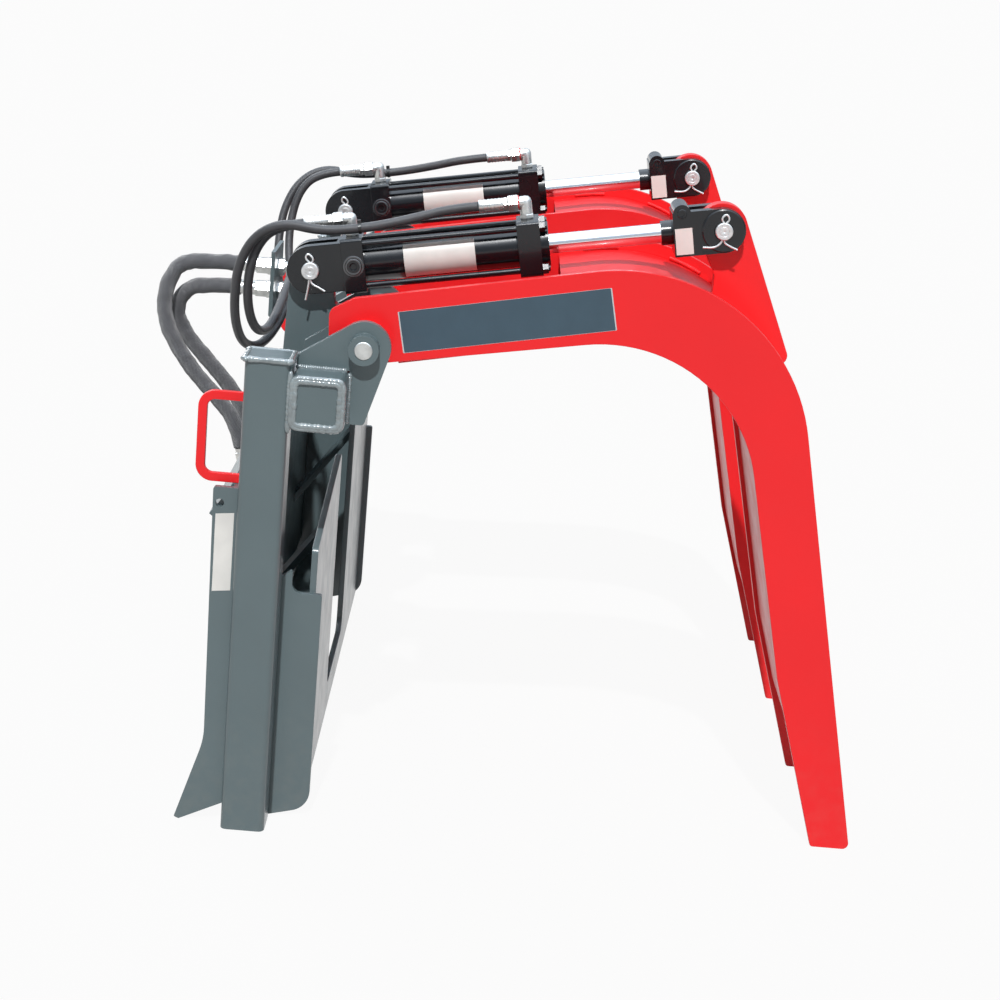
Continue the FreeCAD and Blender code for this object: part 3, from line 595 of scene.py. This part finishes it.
cylinderHose = {"radius": 7.0, "bendLow": 0.745, "bendHigh": 0.832}
supplyHose = {"radius": 12.4, "wrinkle": 0.11, "fittingEnd": -236.35, "phases": {"upper": 0.7, "lower": 2.1}}


def tieHose(name, side, line):
    # nylon tie where the head hose passes the base cap
    target = onBarrel(76, 22, 52, side)
    index = min(range(1, len(line) - 1), key=lambda k: (line[k] - target).length)
    bm = bmesh.new()
    band = [(7.1, -2.2), (8.3, -2.2), (8.5, -1.9), (8.5, 1.9), (8.3, 2.2), (7.1, 2.2), (7.1, -2.2)]
    around = frameAlong(line[index], line[index + 1] - line[index - 1])
    latheInto(bm, around, band, 28)
    latch = [(-3.2, 7.6), (3.2, 7.6), (3.2, 12.0), (-3.2, 12.0)]
    prismInto(bm, around, latch, -2.8, 2.8, 0.3)
    tie = linkMesh(name + "_hose_tie", meshFrom(bm, name + "tie", 30), finish["tie"])
    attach(tie, name + "_barrel")


def makeCylinderHoses(values):
    p = ports
    for name, side in (("left", -1), ("right", 1)):
        base = [onBarrel(p["baseU"], 0, p["v"], side), onBarrel(p["baseU"] - 40, 0, p["v"], side)]
        base += [inward(-180, 4, 96, side), inward(-192, 12, 48, side), inward(-192, 28, -4, side)]
        base += [inward(-182, 58, -44, side), inward(-168, 102, -52, side), inward(-156, 148, -22, side)]
        base += [place(p["teeX"], side * (p["tee"] + 46), p["upper"])]
        base += [place(p["teeX"], side * p["tee"], p["upper"])]
        head = [onBarrel(p["headU"], 0, p["v"], side), onBarrel(p["headU"] - 43, 0, p["v"], side)]
        head += [onBarrel(162, 8, 58, side), onBarrel(114, 18, 53, side), onBarrel(64, 22, 51.5, side)]
        head += [onBarrel(16, 22, 54.5, side), inward(-140, -20, 135, side), inward(-182, -12, 112, side)]
        head += [inward(-206, 0, 64, side), inward(-211, 16, 10, side), inward(-209, 32, -32, side)]
        head += [inward(-200, 60, -66, side), inward(-182, 100, -79, side), inward(-163, 146, -62, side)]
        head += [place(p["teeX"], side * (p["tee"] + 48), p["lower"])]
        head += [place(p["teeX"], side * p["tee"], p["lower"])]
        for kind, route in (("base", base), ("head", head)):
            line, length = readRoute(route)
            radius = values["radius"] / 1000
            mesh = tubeMesh(name + kind, line, lambda share, angle: radius)
            hose = linkMesh("%s_%s_hose_rubber" % (name, kind), mesh, finish["rubber"])
            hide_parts("%s_%s_hose" % (name, kind))
            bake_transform(hose)
            print(name, kind, "hose", round(length, 3))
            if kind == "head":
                tieHose(name, side, line)


makeCylinderHoses(cylinderHose)

# Clevis pins: turned ends, each with a split cotter of bent wire
pinForm = {
    "length": 45.3, "cotterInset": 4.5, "wire": 1.5,
    "end": [(0, 0.9), (1.6, 0.2), (2.2, 0), (6.4, 0), (6.9, 0.4), (7.4, 0), (11.5, 0), (12.65, 1.2)],
    "eye": [(-0.8, 12), (-4.9, 15.5), (-4.9, 20.5), (0, 25.2), (4.9, 20.5), (4.9, 15.5), (0.8, 12)],
}
cotterLegs = {
    "base": ([(-4.2, -43), (-1.8, -27), (-0.8, -14)], [(0.8, -14), (4.5, -19.5), (13.5, -23), (23, -28)], -3.6),
    "rod": ([(-28, -25.6), (-13, -25), (-5.5, -20.5), (-0.8, -13.5)], [(0.8, -13.5), (4.5, -18.5), (22, -25)], 0.6),
}


def makePins(values):
    spots = {"base": (cylinder["baseX"], cylinder["baseZ"]), "rod": (cylinder["rodX"], cylinder["rodZ"])}
    for name, side in (("left", -1), ("right", 1)):
        centre = side * cylinder["spacing"]
        for end, (x, z) in spots.items():
            half = values["length"]
            profile = [(r, -half + a) for r, a in values["end"]]
            profile += [(r, half - a) for r, a in reversed(values["end"])]
            bm = bmesh.new()
            latheInto(bm, frameAlong(place(x, centre, z), Vector((0, 1, 0))), profile, 48)
            first, second, shift = cotterLegs[end]
            eye = [(a + shift * max(0.0, (b - 12) / 10), b) for a, b in values["eye"]]
            for face in (-1, 1):
                y = centre + face * (half - values["cotterInset"])
                wire = [place(x + a, y, z + b) for a, b in first + eye + second]
                wireInto(bm, rounded(wire), values["wire"] / 1000)
            pin = linkMesh("%s_%s_pin_turned" % (name, end), meshFrom(bm, name + end + "pin", 30), finish["pin"])
            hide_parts("%s_%s_pin" % (name, end))
            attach(pin, name + ("_barrel" if end == "base" else "_rod"))


# Port elbows: forged body on a hexagon stud, swivel nut and crimped ferrule
elbowForm = {
    "ports": (63.0, 319.0), "height": 64.0, "studAcross": 19.0, "nutAcross": 22.0, "crimps": 6,
    "body": [(0, 46), (8.0, 46), (9.2, 47.5), (9.2, 62), (9.0, 66), (7.8, 69.6), (4.8, 72.6), (0, 73.8)],
    "arm": [(0, -1), (9.0, -1), (9.0, 8.8), (9.8, 9.4), (9.8, 10.6), (0, 10.6)],
    "band": [(9.0, 8.9), (10.6, 8.9), (10.9, 9.2), (10.9, 11.8), (10.6, 12.1), (9.0, 12.1), (9.0, 8.9)],
}


def makeElbows(values):
    for name, side in (("left", -1), ("right", 1)):
        bm = bmesh.new()
        axis = (onBarrel(1, 0, 0, side) - onBarrel(0, 0, 0, side)).normalized()
        up = (onBarrel(0, 0, 1, side) - onBarrel(0, 0, 0, side)).normalized()
        for u in values["ports"]:
            upright = frameAlong(onBarrel(u, 0, 0, side), up)
            level = frameAlong(onBarrel(u, 0, values["height"], side), -axis)
            latheInto(bm, upright, [(0, 40.05), (8.4, 40.05), (8.4, 48), (0, 48)], 32)
            prismInto(bm, upright, hexCorners(values["studAcross"]), 40.6, 47, 0.9)
            latheInto(bm, upright, values["body"], 32)
            latheInto(bm, level, values["arm"], 32)
            prismInto(bm, level, hexCorners(values["nutAcross"]), 10.2, 25.6, 1.2)
            prismInto(bm, level, hexCorners(values["studAcross"] - 1), 26, 32, 0.8)
            ferrule = [(0, 31), (8.4, 31), (9.4, 32.5)]
            for k in range(values["crimps"]):
                start = 34 + k * 5.2
                ferrule += [(9.4, start), (8.9, start + 0.5), (8.9, start + 2.1), (9.4, start + 2.6)]
            ferrule += [(9.4, 66), (8.6, 67.8), (7.2, 67.8), (7.2, 66.6), (0, 66.6)]
            latheInto(bm, level, ferrule, 32)
        elbows = linkMesh(name + "_port_elbows", meshFrom(bm, name + "elbows", 30), finish["zinc"])
        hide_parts(name + "_port_fittings")
        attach(elbows, name + "_barrel")
        band = bmesh.new()
        headLevel = frameAlong(onBarrel(values["ports"][1], 0, values["height"], side), -axis)
        latheInto(band, headLevel, values["band"])
        ring = linkMesh(name + "_head_band", meshFrom(band, name + "band", 30), finish["redBand"])
        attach(ring, name + "_barrel")


# Small turned trim on the black cylinder parts: port plug rings, clevis discs and clamp screws
trimForm = {
    "plugU": 63.0, "plugFace": 43.0, "discFace": 36.3, "clampU": 542.0, "clampV": 30.0, "clampFace": 34.8,
    "lip": [(8.8, -0.1), (9.3, 0.9), (11.3, 1.0), (11.9, 0.3), (11.9, -0.1), (8.8, -0.1)],
    "seat": [(12.1, -2.95), (12.6, -1.9), (14.9, -1.9), (15.7, -2.95), (12.1, -2.95)],
    "disc": [(13.3, -0.1), (13.3, 1.0), (14.2, 1.7), (29.6, 1.7), (31.3, 0.6), (31.3, -0.1), (13.3, -0.1)],
    "screw": [(0, 0.5), (3.1, 0.5), (3.3, 2.2), (6.2, 2.4), (6.9, 1.7), (6.9, -0.4), (0, -0.4)],
}


def makeTrim(values):
    for name, side in (("left", -1), ("right", 1)):
        centre = side * cylinder["spacing"]
        near = Vector((0, -1, 0))
        plug = bmesh.new()
        spot = onBarrel(values["plugU"], 0, 0, side)
        spot.y = (centre - values["plugFace"]) / 1000
        for profile in (values["lip"], values["seat"]):
            latheInto(plug, frameAlong(spot, near), profile, 40)
        rings = linkMesh(name + "_plug_rings", meshFrom(plug, name + "plug", 30), finish["plug"])
        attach(rings, name + "_barrel")
        trim = bmesh.new()
        for face in (-1, 1):
            eye = place(cylinder["rodX"], centre + face * values["discFace"], cylinder["rodZ"])
            latheInto(trim, frameAlong(eye, near * -face), values["disc"], 56)
            screw = onBarrel(values["clampU"], 0, values["clampV"], side)
            screw.y = (centre + face * values["clampFace"]) / 1000
            latheInto(trim, frameAlong(screw, near * -face), values["screw"], 24)
        discs = linkMesh(name + "_clevis_trim", meshFrom(trim, name + "trim", 30), finish["black"])
        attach(discs, name + "_rod")


makePins(pinForm)
makeElbows(elbowForm)
makeTrim(trimForm)
print("pins, elbows and trim made")

couplerForm = {"profile": [
    (0, 0), (9.5, 0), (11, 1.5), (11, 8), (12.8, 9), (12.8, 22), (11.6, 23.5), (11.6, 27), (13.0, 28), (13.9, 30),
    (13.9, 37), (13.0, 38), (13.0, 40), (13.9, 41), (13.9, 54), (12.6, 56), (12.6, 60.5), (11.6, 62), (8.5, 62),
    (8.0, 60.5), (0, 60.5)]}


def makeSupplyHoses(values):
    p = ports
    startX = values["fittingEnd"]
    upper = [(startX, 0, p["upper"]), (startX - 46, 0, p["upper"])]
    upper += [(-336, -4, 8), (-357, -10, -32), (-357, -18, -82)]
    upper += [(-333, -24, -128), (-298, -28, -172), (-260, -30, -208), (-230, -31, -244), (-219, -31, -284)]
    lower = [(startX, 0, p["lower"]), (startX - 46, 0, p["lower"])]
    lower += [(-326, 10, -36), (-345, 18, -74), (-327, 24, -116)]
    lower += [(-290, 27, -156), (-255, 29, -194), (-228, 30, -230), (-218, 30, -268)]
    radius = values["radius"] / 1000
    for name, route in (("upper", upper), ("lower", lower)):
        points = [place(*point) for point in route]
        line, length = readRoute(points, 0.003)
        phase = values["phases"][name]

        def sleeveRadius(share, angle):
            # slack folds near the fittings, drawn tight towards the coupler
            slack = 1 - 0.6 * min(1.0, share * 1.4)
            fold = math.sin(share * 58 + phase + 1.3 * math.sin(angle)) * math.sin(angle + share * 17 + phase)
            fine = math.sin(share * 131 + 2 * angle + 2.0 * math.sin(share * 29)) * math.sin(3 * angle + phase)
            return radius * (1 + values["wrinkle"] * (0.65 * fold + 0.35 * fine) * slack)

        mesh = tubeMesh(name, line, sleeveRadius, 32)
        hose = linkMesh(name + "_supply_hose_sleeve", mesh, finish["sleeve"])
        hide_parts(name + "_supply_hose")
        direction = (points[-1] - points[-2]).normalized()
        bm = bmesh.new()
        latheInto(bm, frameAlong(points[-1], direction), couplerForm["profile"], 40)
        coupler = linkMesh(name + "_coupler_turned", meshFrom(bm, name + "coupler", 28), finish["zinc"])
        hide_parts(name + "_coupler")
        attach(coupler, "frame")
        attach(hose, "frame")
        print(name, "supply hose", round(length, 3))


makeSupplyHoses(supplyHose)

# Weld beads: ripples laid along lines by one node tree


def makeBeadTree():
    tree = bpy.data.node_groups.new("weldBead", "GeometryNodeTree")
    tree.interface.new_socket("Geometry", in_out="INPUT", socket_type="NodeSocketGeometry")
    inputs = {}
    defaults = {"Ripple Spacing": 0.003, "Bead Radius": 0.004, "Ripple Length": 0.004, "Uneven": 0.15}
    for label, value in defaults.items():
        socket = tree.interface.new_socket(label, in_out="INPUT", socket_type="NodeSocketFloat")
        socket.default_value = value
        inputs[label] = socket
    bead = tree.interface.new_socket("Bead Material", in_out="INPUT", socket_type="NodeSocketMaterial")
    inputs["Bead Material"] = bead
    tree.interface.new_socket("Geometry", in_out="OUTPUT", socket_type="NodeSocketGeometry")
    add = tree.nodes.new
    link = tree.links.new
    source, out = add("NodeGroupInput"), add("NodeGroupOutput")
    resample = add("GeometryNodeResampleCurve")
    resample.mode = "LENGTH"
    tangent = add("GeometryNodeInputTangent")
    align = add("FunctionNodeAlignRotationToVector")
    align.axis = "X"
    ball = add("GeometryNodeMeshIcoSphere")
    ball.inputs["Radius"].default_value = 1.0
    ball.inputs["Subdivisions"].default_value = 2
    uneven = add("FunctionNodeRandomValue")
    uneven.data_type = "FLOAT"
    uneven.inputs["Seed"].default_value = 7
    low = add("ShaderNodeMath")
    low.operation = "SUBTRACT"
    low.inputs[0].default_value = 1.0
    width = add("ShaderNodeMath")
    width.operation = "MULTIPLY"
    size = add("ShaderNodeCombineXYZ")
    onPoints = add("GeometryNodeInstanceOnPoints")
    real = add("GeometryNodeRealizeInstances")
    smooth = add("GeometryNodeSetShadeSmooth")
    paint = add("GeometryNodeSetMaterial")
    link(source.outputs["Geometry"], resample.inputs["Curve"])
    link(source.outputs["Ripple Spacing"], resample.inputs["Length"])
    link(tangent.outputs["Tangent"], align.inputs["Vector"])
    link(source.outputs["Uneven"], low.inputs[1])
    link(low.outputs[0], uneven.inputs["Min"])
    link(source.outputs["Bead Radius"], width.inputs[0])
    link(uneven.outputs["Value"], width.inputs[1])
    link(source.outputs["Ripple Length"], size.inputs["X"])
    link(width.outputs[0], size.inputs["Y"])
    link(width.outputs[0], size.inputs["Z"])
    link(resample.outputs["Curve"], onPoints.inputs["Points"])
    link(ball.outputs["Mesh"], onPoints.inputs["Instance"])
    link(align.outputs["Rotation"], onPoints.inputs["Rotation"])
    link(size.outputs["Vector"], onPoints.inputs["Scale"])
    link(onPoints.outputs["Instances"], real.inputs["Geometry"])
    link(real.outputs["Geometry"], smooth.inputs["Geometry"])
    link(smooth.outputs["Geometry"], paint.inputs["Geometry"])
    link(source.outputs["Bead Material"], paint.inputs["Material"])
    link(paint.outputs["Geometry"], out.inputs["Geometry"])
    return tree, {label: socket.identifier for label, socket in inputs.items()}


beadTree, beadInputs = makeBeadTree()


def layBeads(name, body, lines, values, material):
    # runs the bead tree over poly lines, each given as (points, closed), and keeps one plain mesh
    curve = bpy.data.curves.new(name, "CURVE")
    curve.dimensions = "3D"
    for points, closed in lines:
        spline = curve.splines.new("POLY")
        spline.points.add(len(points) - 1)
        for target, point in zip(spline.points, points):
            target.co = (*point, 1)
        spline.use_cyclic_u = closed
    guide = bpy.data.objects.new(name + "Guide", curve)
    scene.collection.objects.link(guide)
    modifier = guide.modifiers.new("bead", "NODES")
    modifier.node_group = beadTree
    for label, value in values.items():
        modifier[beadInputs[label]] = value
    modifier[beadInputs["Bead Material"]] = material
    bpy.context.view_layer.update()
    mesh = bpy.data.meshes.new_from_object(guide.evaluated_get(bpy.context.evaluated_depsgraph_get()))
    bpy.data.objects.remove(guide)
    bpy.data.curves.remove(curve)
    obj = linkMesh(name, mesh)
    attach(obj, body)
    return obj


def roundedSquare(x0, x1, z0, z1, radius, y, steps=6):
    points = []
    for cx, cz, start in ((x1 - radius, z1 - radius, 0), (x0 + radius, z1 - radius, 90),
                          (x0 + radius, z0 + radius, 180), (x1 - radius, z0 + radius, 270)):
        for k in range(steps + 1):
            angle = math.radians(start + 90 * k / steps)
            points.append(place(cx + radius * math.cos(angle), y, cz + radius * math.sin(angle)))
    return points


def circleAt(x, y, z, radius, steps=36):
    turns = [2 * math.pi * k / steps for k in range(steps)]
    return [place(x + radius * math.cos(turn), y, z + radius * math.sin(turn)) for turn in turns]


def stitches(start, end, length, gap):
    # short weld runs between two points given in millimetres
    a, b = place(*start), place(*end)
    total = (b - a).length * 1000
    count = max(1, int((total + gap) // (length + gap)))
    lead = (total - count * length - (count - 1) * gap) / 2
    runs = []
    for k in range(count):
        s = (lead + k * (length + gap)) / total
        runs.append(([a.lerp(b, s), a.lerp(b, s + length / total)], False))
    return runs


frameWeld = {"Ripple Spacing": 0.0030, "Bead Radius": 0.0042, "Ripple Length": 0.0034, "Uneven": 0.16}
capWeld = {"Ripple Spacing": 0.0026, "Bead Radius": 0.0052, "Ripple Length": 0.0085, "Uneven": 0.24}
seamWeld = {"Ripple Spacing": 0.0026, "Bead Radius": 0.0026, "Ripple Length": 0.0030, "Uneven": 0.20}
armWeld = {"Ripple Spacing": 0.0030, "Bead Radius": 0.0035, "Ripple Length": 0.0032, "Uneven": 0.16}
tineCentres = [-457.5, -152.5, 152.5, 457.5]


def weldFrame():
    ends, runs, seams = [], [], []
    for side in (-1, 1):
        y = side * 571.5
        ends.append((roundedSquare(-90.5, -21.3, -106.7, -37.5, 10, y), True))
        ends.append((roundedSquare(-87, -24.8, -103.2, -41, 8, side * 572.3), True))
        ends.append(([place(-94, side * 569, -108), place(-94, side * 569, -36)], False))
        # seam under the post's cap
        x0, x1, y0, y1 = -157.0, -94.5, side * 509.5, side * 572
        ends.append(([place(x1, y0, -16), place(x0, y0, -16), place(x0, y1, -16), place(x1, y1, -16)], True))
        seams.append(([place(-157.5, side * 549.5, -212), place(-157.5, side * 549.5, -676)], False))
        runs += stitches((-167, side * 540, -266), (-167, side * 540, -580), 40, 70)
        for z in (-199.5, -81.5):
            half = 6.5
            y0, y1 = side * 520 - 4.75, side * 520 + 4.75
            runs.append(([place(-158, y0, z - half), place(-158, y0, z + half)], False))
            runs.append(([place(-158, y1, z - half), place(-158, y1, z + half)], False))
    for centre in tineCentres:
        for side in (-1, 1):
            for face in (43.5, 56.2):
                y = centre + side * face
                runs.append(([place(-90, y, -34), place(-24, y, -34)], False))
                runs.append(([place(-17.8, y, -40), place(-17.8, y, -106)], False))
    for centre in (-305, 305):
        for side in (-1, 1):
            y = centre + side * 12.7
            runs.append(([place(-92, y, -34), place(-20, y, -34)], False))
            runs.append(([place(-94, y, -62), place(-94, y, -36)], False))
    layBeads("frame_end_welds", "frame", ends, capWeld, finish["weld"])
    layBeads("frame_welds", "frame", runs, frameWeld, finish["weld"])
    layBeads("gusset_seams", "frame", seams, seamWeld, finish["gray"])


# The tines' back edge, with the bend that the skin follows inside it
armCurve = {
    "start": (262.0, 119.6), "corner": (576.5, 178.5), "knee": (711.0, -437.0), "end": (732.0, -560.0),
    "bend": 275.0, "recess": 19.0,
}


def skinLine(values, lift, step=4.0):
    # points on the outer skin's face, lifted from it
    start, corner, knee, end = (Vector(values[key]) for key in ("start", "corner", "knee", "end"))
    inset = values["recess"] - lift
    sides = (corner - start, knee - corner, end - knee)
    first, second, third = (along.normalized() for along in sides)
    inward1, inward2, inward3 = (Vector((d.y, -d.x)) for d in (first, second, third))
    halfTurn = first.angle(second) / 2
    reach = values["bend"] * math.tan(halfTurn)
    centre = corner - first * reach + inward1 * values["bend"]
    radius = values["bend"] - inset
    points = []
    arcStart = corner - first * reach + inward1 * inset
    length = (arcStart - (start + inward1 * inset)).length
    for k in range(int(length / step)):
        points.append(start + inward1 * inset + first * (k * step))
    low = math.atan2(-inward1.y, -inward1.x)
    high = math.atan2(-inward2.y, -inward2.x)
    count = int(abs(high - low) * radius / step)
    for k in range(count + 1):
        angle = low + (high - low) * k / count
        points.append(centre + Vector((math.cos(angle), math.sin(angle))) * radius)
    for a, b, normal in ((corner + second * reach, knee, inward2), (knee, end, inward3)):
        run = (b - a).length
        for k in range(1, int(run / step)):
            points.append(a + normal * inset + (b - a) * (k * step / run))
    return points


def runsAlong(points, y, length, gap, step=4.0):
    runs = []
    count, pause = int(length / step), int(gap / step)
    index = pause // 2
    while index + count < len(points):
        runs.append(([place(p.x, y, p.y) for p in points[index:index + count + 1]], False))
        index += count + pause
    return runs


def weldArms():
    skin = skinLine(armCurve, 0.8)
    foot = [p for p in skin if 500 < p.x < 612 and p.y > 20]  # under the rod lug
    for name, centre in (("left", -305), ("right", 305)):
        runs = []
        for offset in (-152.5, 152.5):
            for face in (-6.5, 6.5):
                runs.append((circleAt(0, centre + offset + face, 0, 26.2), True))
        for offset in (-145.4, 145.4):
            runs += runsAlong(skin, centre + offset, 48, 84)
        for offset in (-13.6, 13.6):
            runs.append(([place(p.x, centre + offset, p.y) for p in foot], False))
        layBeads(name + "_arm_welds", name + "_arm", runs, armWeld, finish["redWeld"])


weldFrame()
weldArms()
print("welds laid")

# Blank panel and stickers in the places of printed ones
panelForm = {"corners": [(40, 45), (52, -13), (348, 46), (335, 105)], "border": 1.3, "corner": 1.5, "lift": 0.25}


def roundedQuad(corners, radius, inset=0.0):
    points = []
    count = len(corners)
    centre = Vector((sum(c[0] for c in corners) / count, sum(c[1] for c in corners) / count))
    moved = []
    for corner in corners:
        p = Vector(corner)
        moved.append(p + (centre - p).normalized() * inset * 1.41)
    for index, p in enumerate(moved):
        before = (moved[index - 1] - p).normalized()
        after = (moved[(index + 1) % count] - p).normalized()
        start, end = p + before * radius, p + after * radius
        for k in range(6):
            t = k / 5
            points.append(start * (1 - t) ** 2 + p * 2 * t * (1 - t) + end * t ** 2)
    return points


def makePanels(values):
    for name, side in (("left", -1), ("right", 1)):
        y = side * (463.85 + values["lift"])
        outer = roundedQuad(values["corners"], values["corner"])
        inner = roundedQuad(values["corners"], values["corner"], values["border"])
        bm = bmesh.new()
        a = [bm.verts.new(place(p.x, side * 463.9, p.y)) for p in outer]
        b = [bm.verts.new(place(p.x, y, p.y)) for p in outer]
        c = [bm.verts.new(place(p.x, y, p.y)) for p in inner]
        count = len(a)
        for k in range(count):
            n = (k + 1) % count
            bm.faces.new((a[k], a[n], b[n], b[k]))
            bm.faces.new((b[k], b[n], c[n], c[k]))
        middle = bm.faces.new(c)
        middle.material_index = 1
        bm.faces.new(list(reversed(a)))
        panel = linkMesh(name + "_arm_panel", meshFrom(bm, name + "panel"), finish["border"])
        panel.data.materials.append(finish["panel"])
        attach(panel, name + "_arm")


stickerForm = {"from": 136, "to": 240, "inner": 30.05, "outer": 30.3, "lowAngle": -58, "turn": 104}


def makeStickers(values):
    for name, side in (("left", -1), ("right", 1)):
        bm = bmesh.new()
        axis = onBarrel(1, 0, 0, side) - onBarrel(0, 0, 0, side)
        axis.normalize()
        up = (onBarrel(0, 0, 1, side) - onBarrel(0, 0, 0, side)).normalized()
        centreLine = onBarrel(0, 0, 0, side)
        rows = []
        for r in (values["inner"], values["outer"]):
            for k in range(17):
                angle = math.radians(values["lowAngle"] + values["turn"] * k / 16)
                radial = Vector((0, -1, 0)) * math.cos(angle) + up * math.sin(angle)
                spots = [centreLine + axis * (values[end] / 1000) for end in ("from", "to")]
                rows.append([bm.verts.new(spot + radial * (r / 1000)) for spot in spots])
        inside, outside = rows[:17], rows[17:]
        for k in range(16):
            bm.faces.new((outside[k][0], outside[k][1], outside[k + 1][1], outside[k + 1][0]))
            bm.faces.new((inside[k][1], inside[k][0], inside[k + 1][0], inside[k + 1][1]))
            bm.faces.new((inside[k][0], outside[k][0], outside[k + 1][0], inside[k + 1][0]))
            bm.faces.new((inside[k][1], inside[k + 1][1], outside[k + 1][1], outside[k][1]))
        for k in (0, 16):
            bm.faces.new((inside[k][0], inside[k][1], outside[k][1], outside[k][0]))
        label = linkMesh(name + "_barrel_sticker", meshFrom(bm, name + "sticker"), finish["sticker"])
        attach(label, name + "_barrel")


def flatSticker(name, body, corners, outward):
    # thin blank film on a flat face, from its four corners
    bm = bmesh.new()
    lift = Vector((0, outward * 0.00025, 0))
    low = [bm.verts.new(p) for p in corners]
    high = [bm.verts.new(p + lift) for p in corners]
    for k in range(4):
        n = (k + 1) % 4
        bm.faces.new((low[k], low[n], high[n], high[k]))
    bm.faces.new(high)
    bm.faces.new(low)
    label = linkMesh(name, meshFrom(bm, name), finish["sticker"])
    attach(label, body)


def makeFlatStickers():
    for name, side in (("left", -1), ("right", 1)):
        y = side * 549.6
        gusset = [place(-189, y, -245), place(-163, y, -242), place(-163, y, -356), place(-189, y, -359)]
        flatSticker(name + "_gusset_sticker", "frame", gusset, side)
        clevis = [onBarrel(u, 0, v, side) for u, v in ((530, -29), (555, -29), (555, 9), (530, 9))]
        for p in clevis:
            p.y = (side * cylinder["spacing"] - 34.9) / 1000
        flatSticker(name + "_clevis_sticker", name + "_rod", clevis, -1)


makePanels(panelForm)
makeStickers(stickerForm)
makeFlatStickers()
print("panels and stickers made")

# Floor, backdrop and light
studio = {"key": 3.2, "fill": 0.20, "back": 1.0, "ambient": 0.18, "mirrorLow": 0.6, "mirrorHigh": 3.5,
          "lowSky": 0.35, "highSky": 0.95, "skyTint": (0.76, 0.87, 1.0), "floorTone": 0.42, "floorGlow": 0.94}


def makeFloor(values):
    bpy.ops.mesh.primitive_plane_add(size=160)
    floor = bpy.context.object
    floor.name = "studioFloor"
    material = bpy.data.materials.new("studioFloor")
    material.use_nodes = True
    tree = material.node_tree
    tree.nodes.clear()
    out = tree.nodes.new("ShaderNodeOutputMaterial")
    mixer = tree.nodes.new("ShaderNodeMixShader")
    diffuse = tree.nodes.new("ShaderNodeBsdfDiffuse")
    glow = tree.nodes.new("ShaderNodeEmission")
    ray = tree.nodes.new("ShaderNodeLightPath")
    seen = tree.nodes.new("ShaderNodeMath")
    seen.operation = "MAXIMUM"
    share = tree.nodes.new("ShaderNodeMath")
    share.operation = "MULTIPLY"
    share.inputs[1].default_value = values["floorGlow"]
    tone = values["floorTone"]
    diffuse.inputs["Color"].default_value = (tone, tone, tone, 1)
    glow.inputs["Color"].default_value = (1, 1, 1, 1)
    link = tree.links.new
    link(ray.outputs["Is Camera Ray"], seen.inputs[0])
    link(ray.outputs["Is Glossy Ray"], seen.inputs[1])
    link(seen.outputs[0], share.inputs[0])
    link(share.outputs[0], mixer.inputs["Fac"])
    link(diffuse.outputs[0], mixer.inputs[1])
    link(glow.outputs[0], mixer.inputs[2])
    link(mixer.outputs[0], out.inputs["Surface"])
    floor.data.materials.append(material)


def makeWorld(values):
    # white to the camera, plain to the light, and brighter overhead in what gloss and chrome mirror
    world = bpy.data.worlds.new("studioWorld")
    scene.world = world
    world.use_nodes = True
    tree = world.node_tree
    link = tree.links.new
    background = tree.nodes["Background"]
    ray = tree.nodes.new("ShaderNodeLightPath")
    sky = tree.nodes.new("ShaderNodeTexCoord")
    parts = tree.nodes.new("ShaderNodeSeparateXYZ")
    mirror = tree.nodes.new("ShaderNodeMapRange")
    mirror.inputs["From Min"].default_value = values["lowSky"]
    mirror.inputs["From Max"].default_value = values["highSky"]
    mirror.inputs["To Min"].default_value = values["mirrorLow"]
    mirror.inputs["To Max"].default_value = values["mirrorHigh"]
    forGloss = tree.nodes.new("ShaderNodeMix")
    forGloss.inputs["A"].default_value = values["ambient"]
    forCamera = tree.nodes.new("ShaderNodeMix")
    forCamera.inputs["B"].default_value = 1.0
    tint = tree.nodes.new("ShaderNodeMix")
    tint.data_type = "RGBA"
    tint.inputs[6].default_value = (1, 1, 1, 1)
    tint.inputs[7].default_value = (*values["skyTint"], 1)
    link(sky.outputs["Generated"], parts.inputs["Vector"])
    link(parts.outputs["Z"], mirror.inputs["Value"])
    link(ray.outputs["Is Glossy Ray"], forGloss.inputs["Factor"])
    link(mirror.outputs["Result"], forGloss.inputs["B"])
    link(ray.outputs["Is Camera Ray"], forCamera.inputs["Factor"])
    link(forGloss.outputs["Result"], forCamera.inputs["A"])
    link(forCamera.outputs["Result"], background.inputs["Strength"])
    link(ray.outputs["Is Glossy Ray"], tint.inputs["Factor"])
    link(tint.outputs[2], background.inputs["Color"])


def makeLamp(name, kind, strength, angle, toward):
    data = bpy.data.lights.new(name, kind)
    data.energy = strength
    data.angle = math.radians(angle)
    lamp = bpy.data.objects.new(name, data)
    lamp.rotation_mode = "QUATERNION"
    lamp.rotation_quaternion = Vector(toward).to_track_quat("-Z", "Y")
    scene.collection.objects.link(lamp)


makeFloor(studio)
makeWorld(studio)
makeLamp("keySun", "SUN", studio["key"], 1.5, (0.08, 1.0, -1.25))
makeLamp("fillSun", "SUN", studio["fill"], 30, (-0.5, 0.8, -0.25))
makeLamp("backSun", "SUN", studio["back"], 30, (0.45, -0.75, -0.45))
print("studio lit")
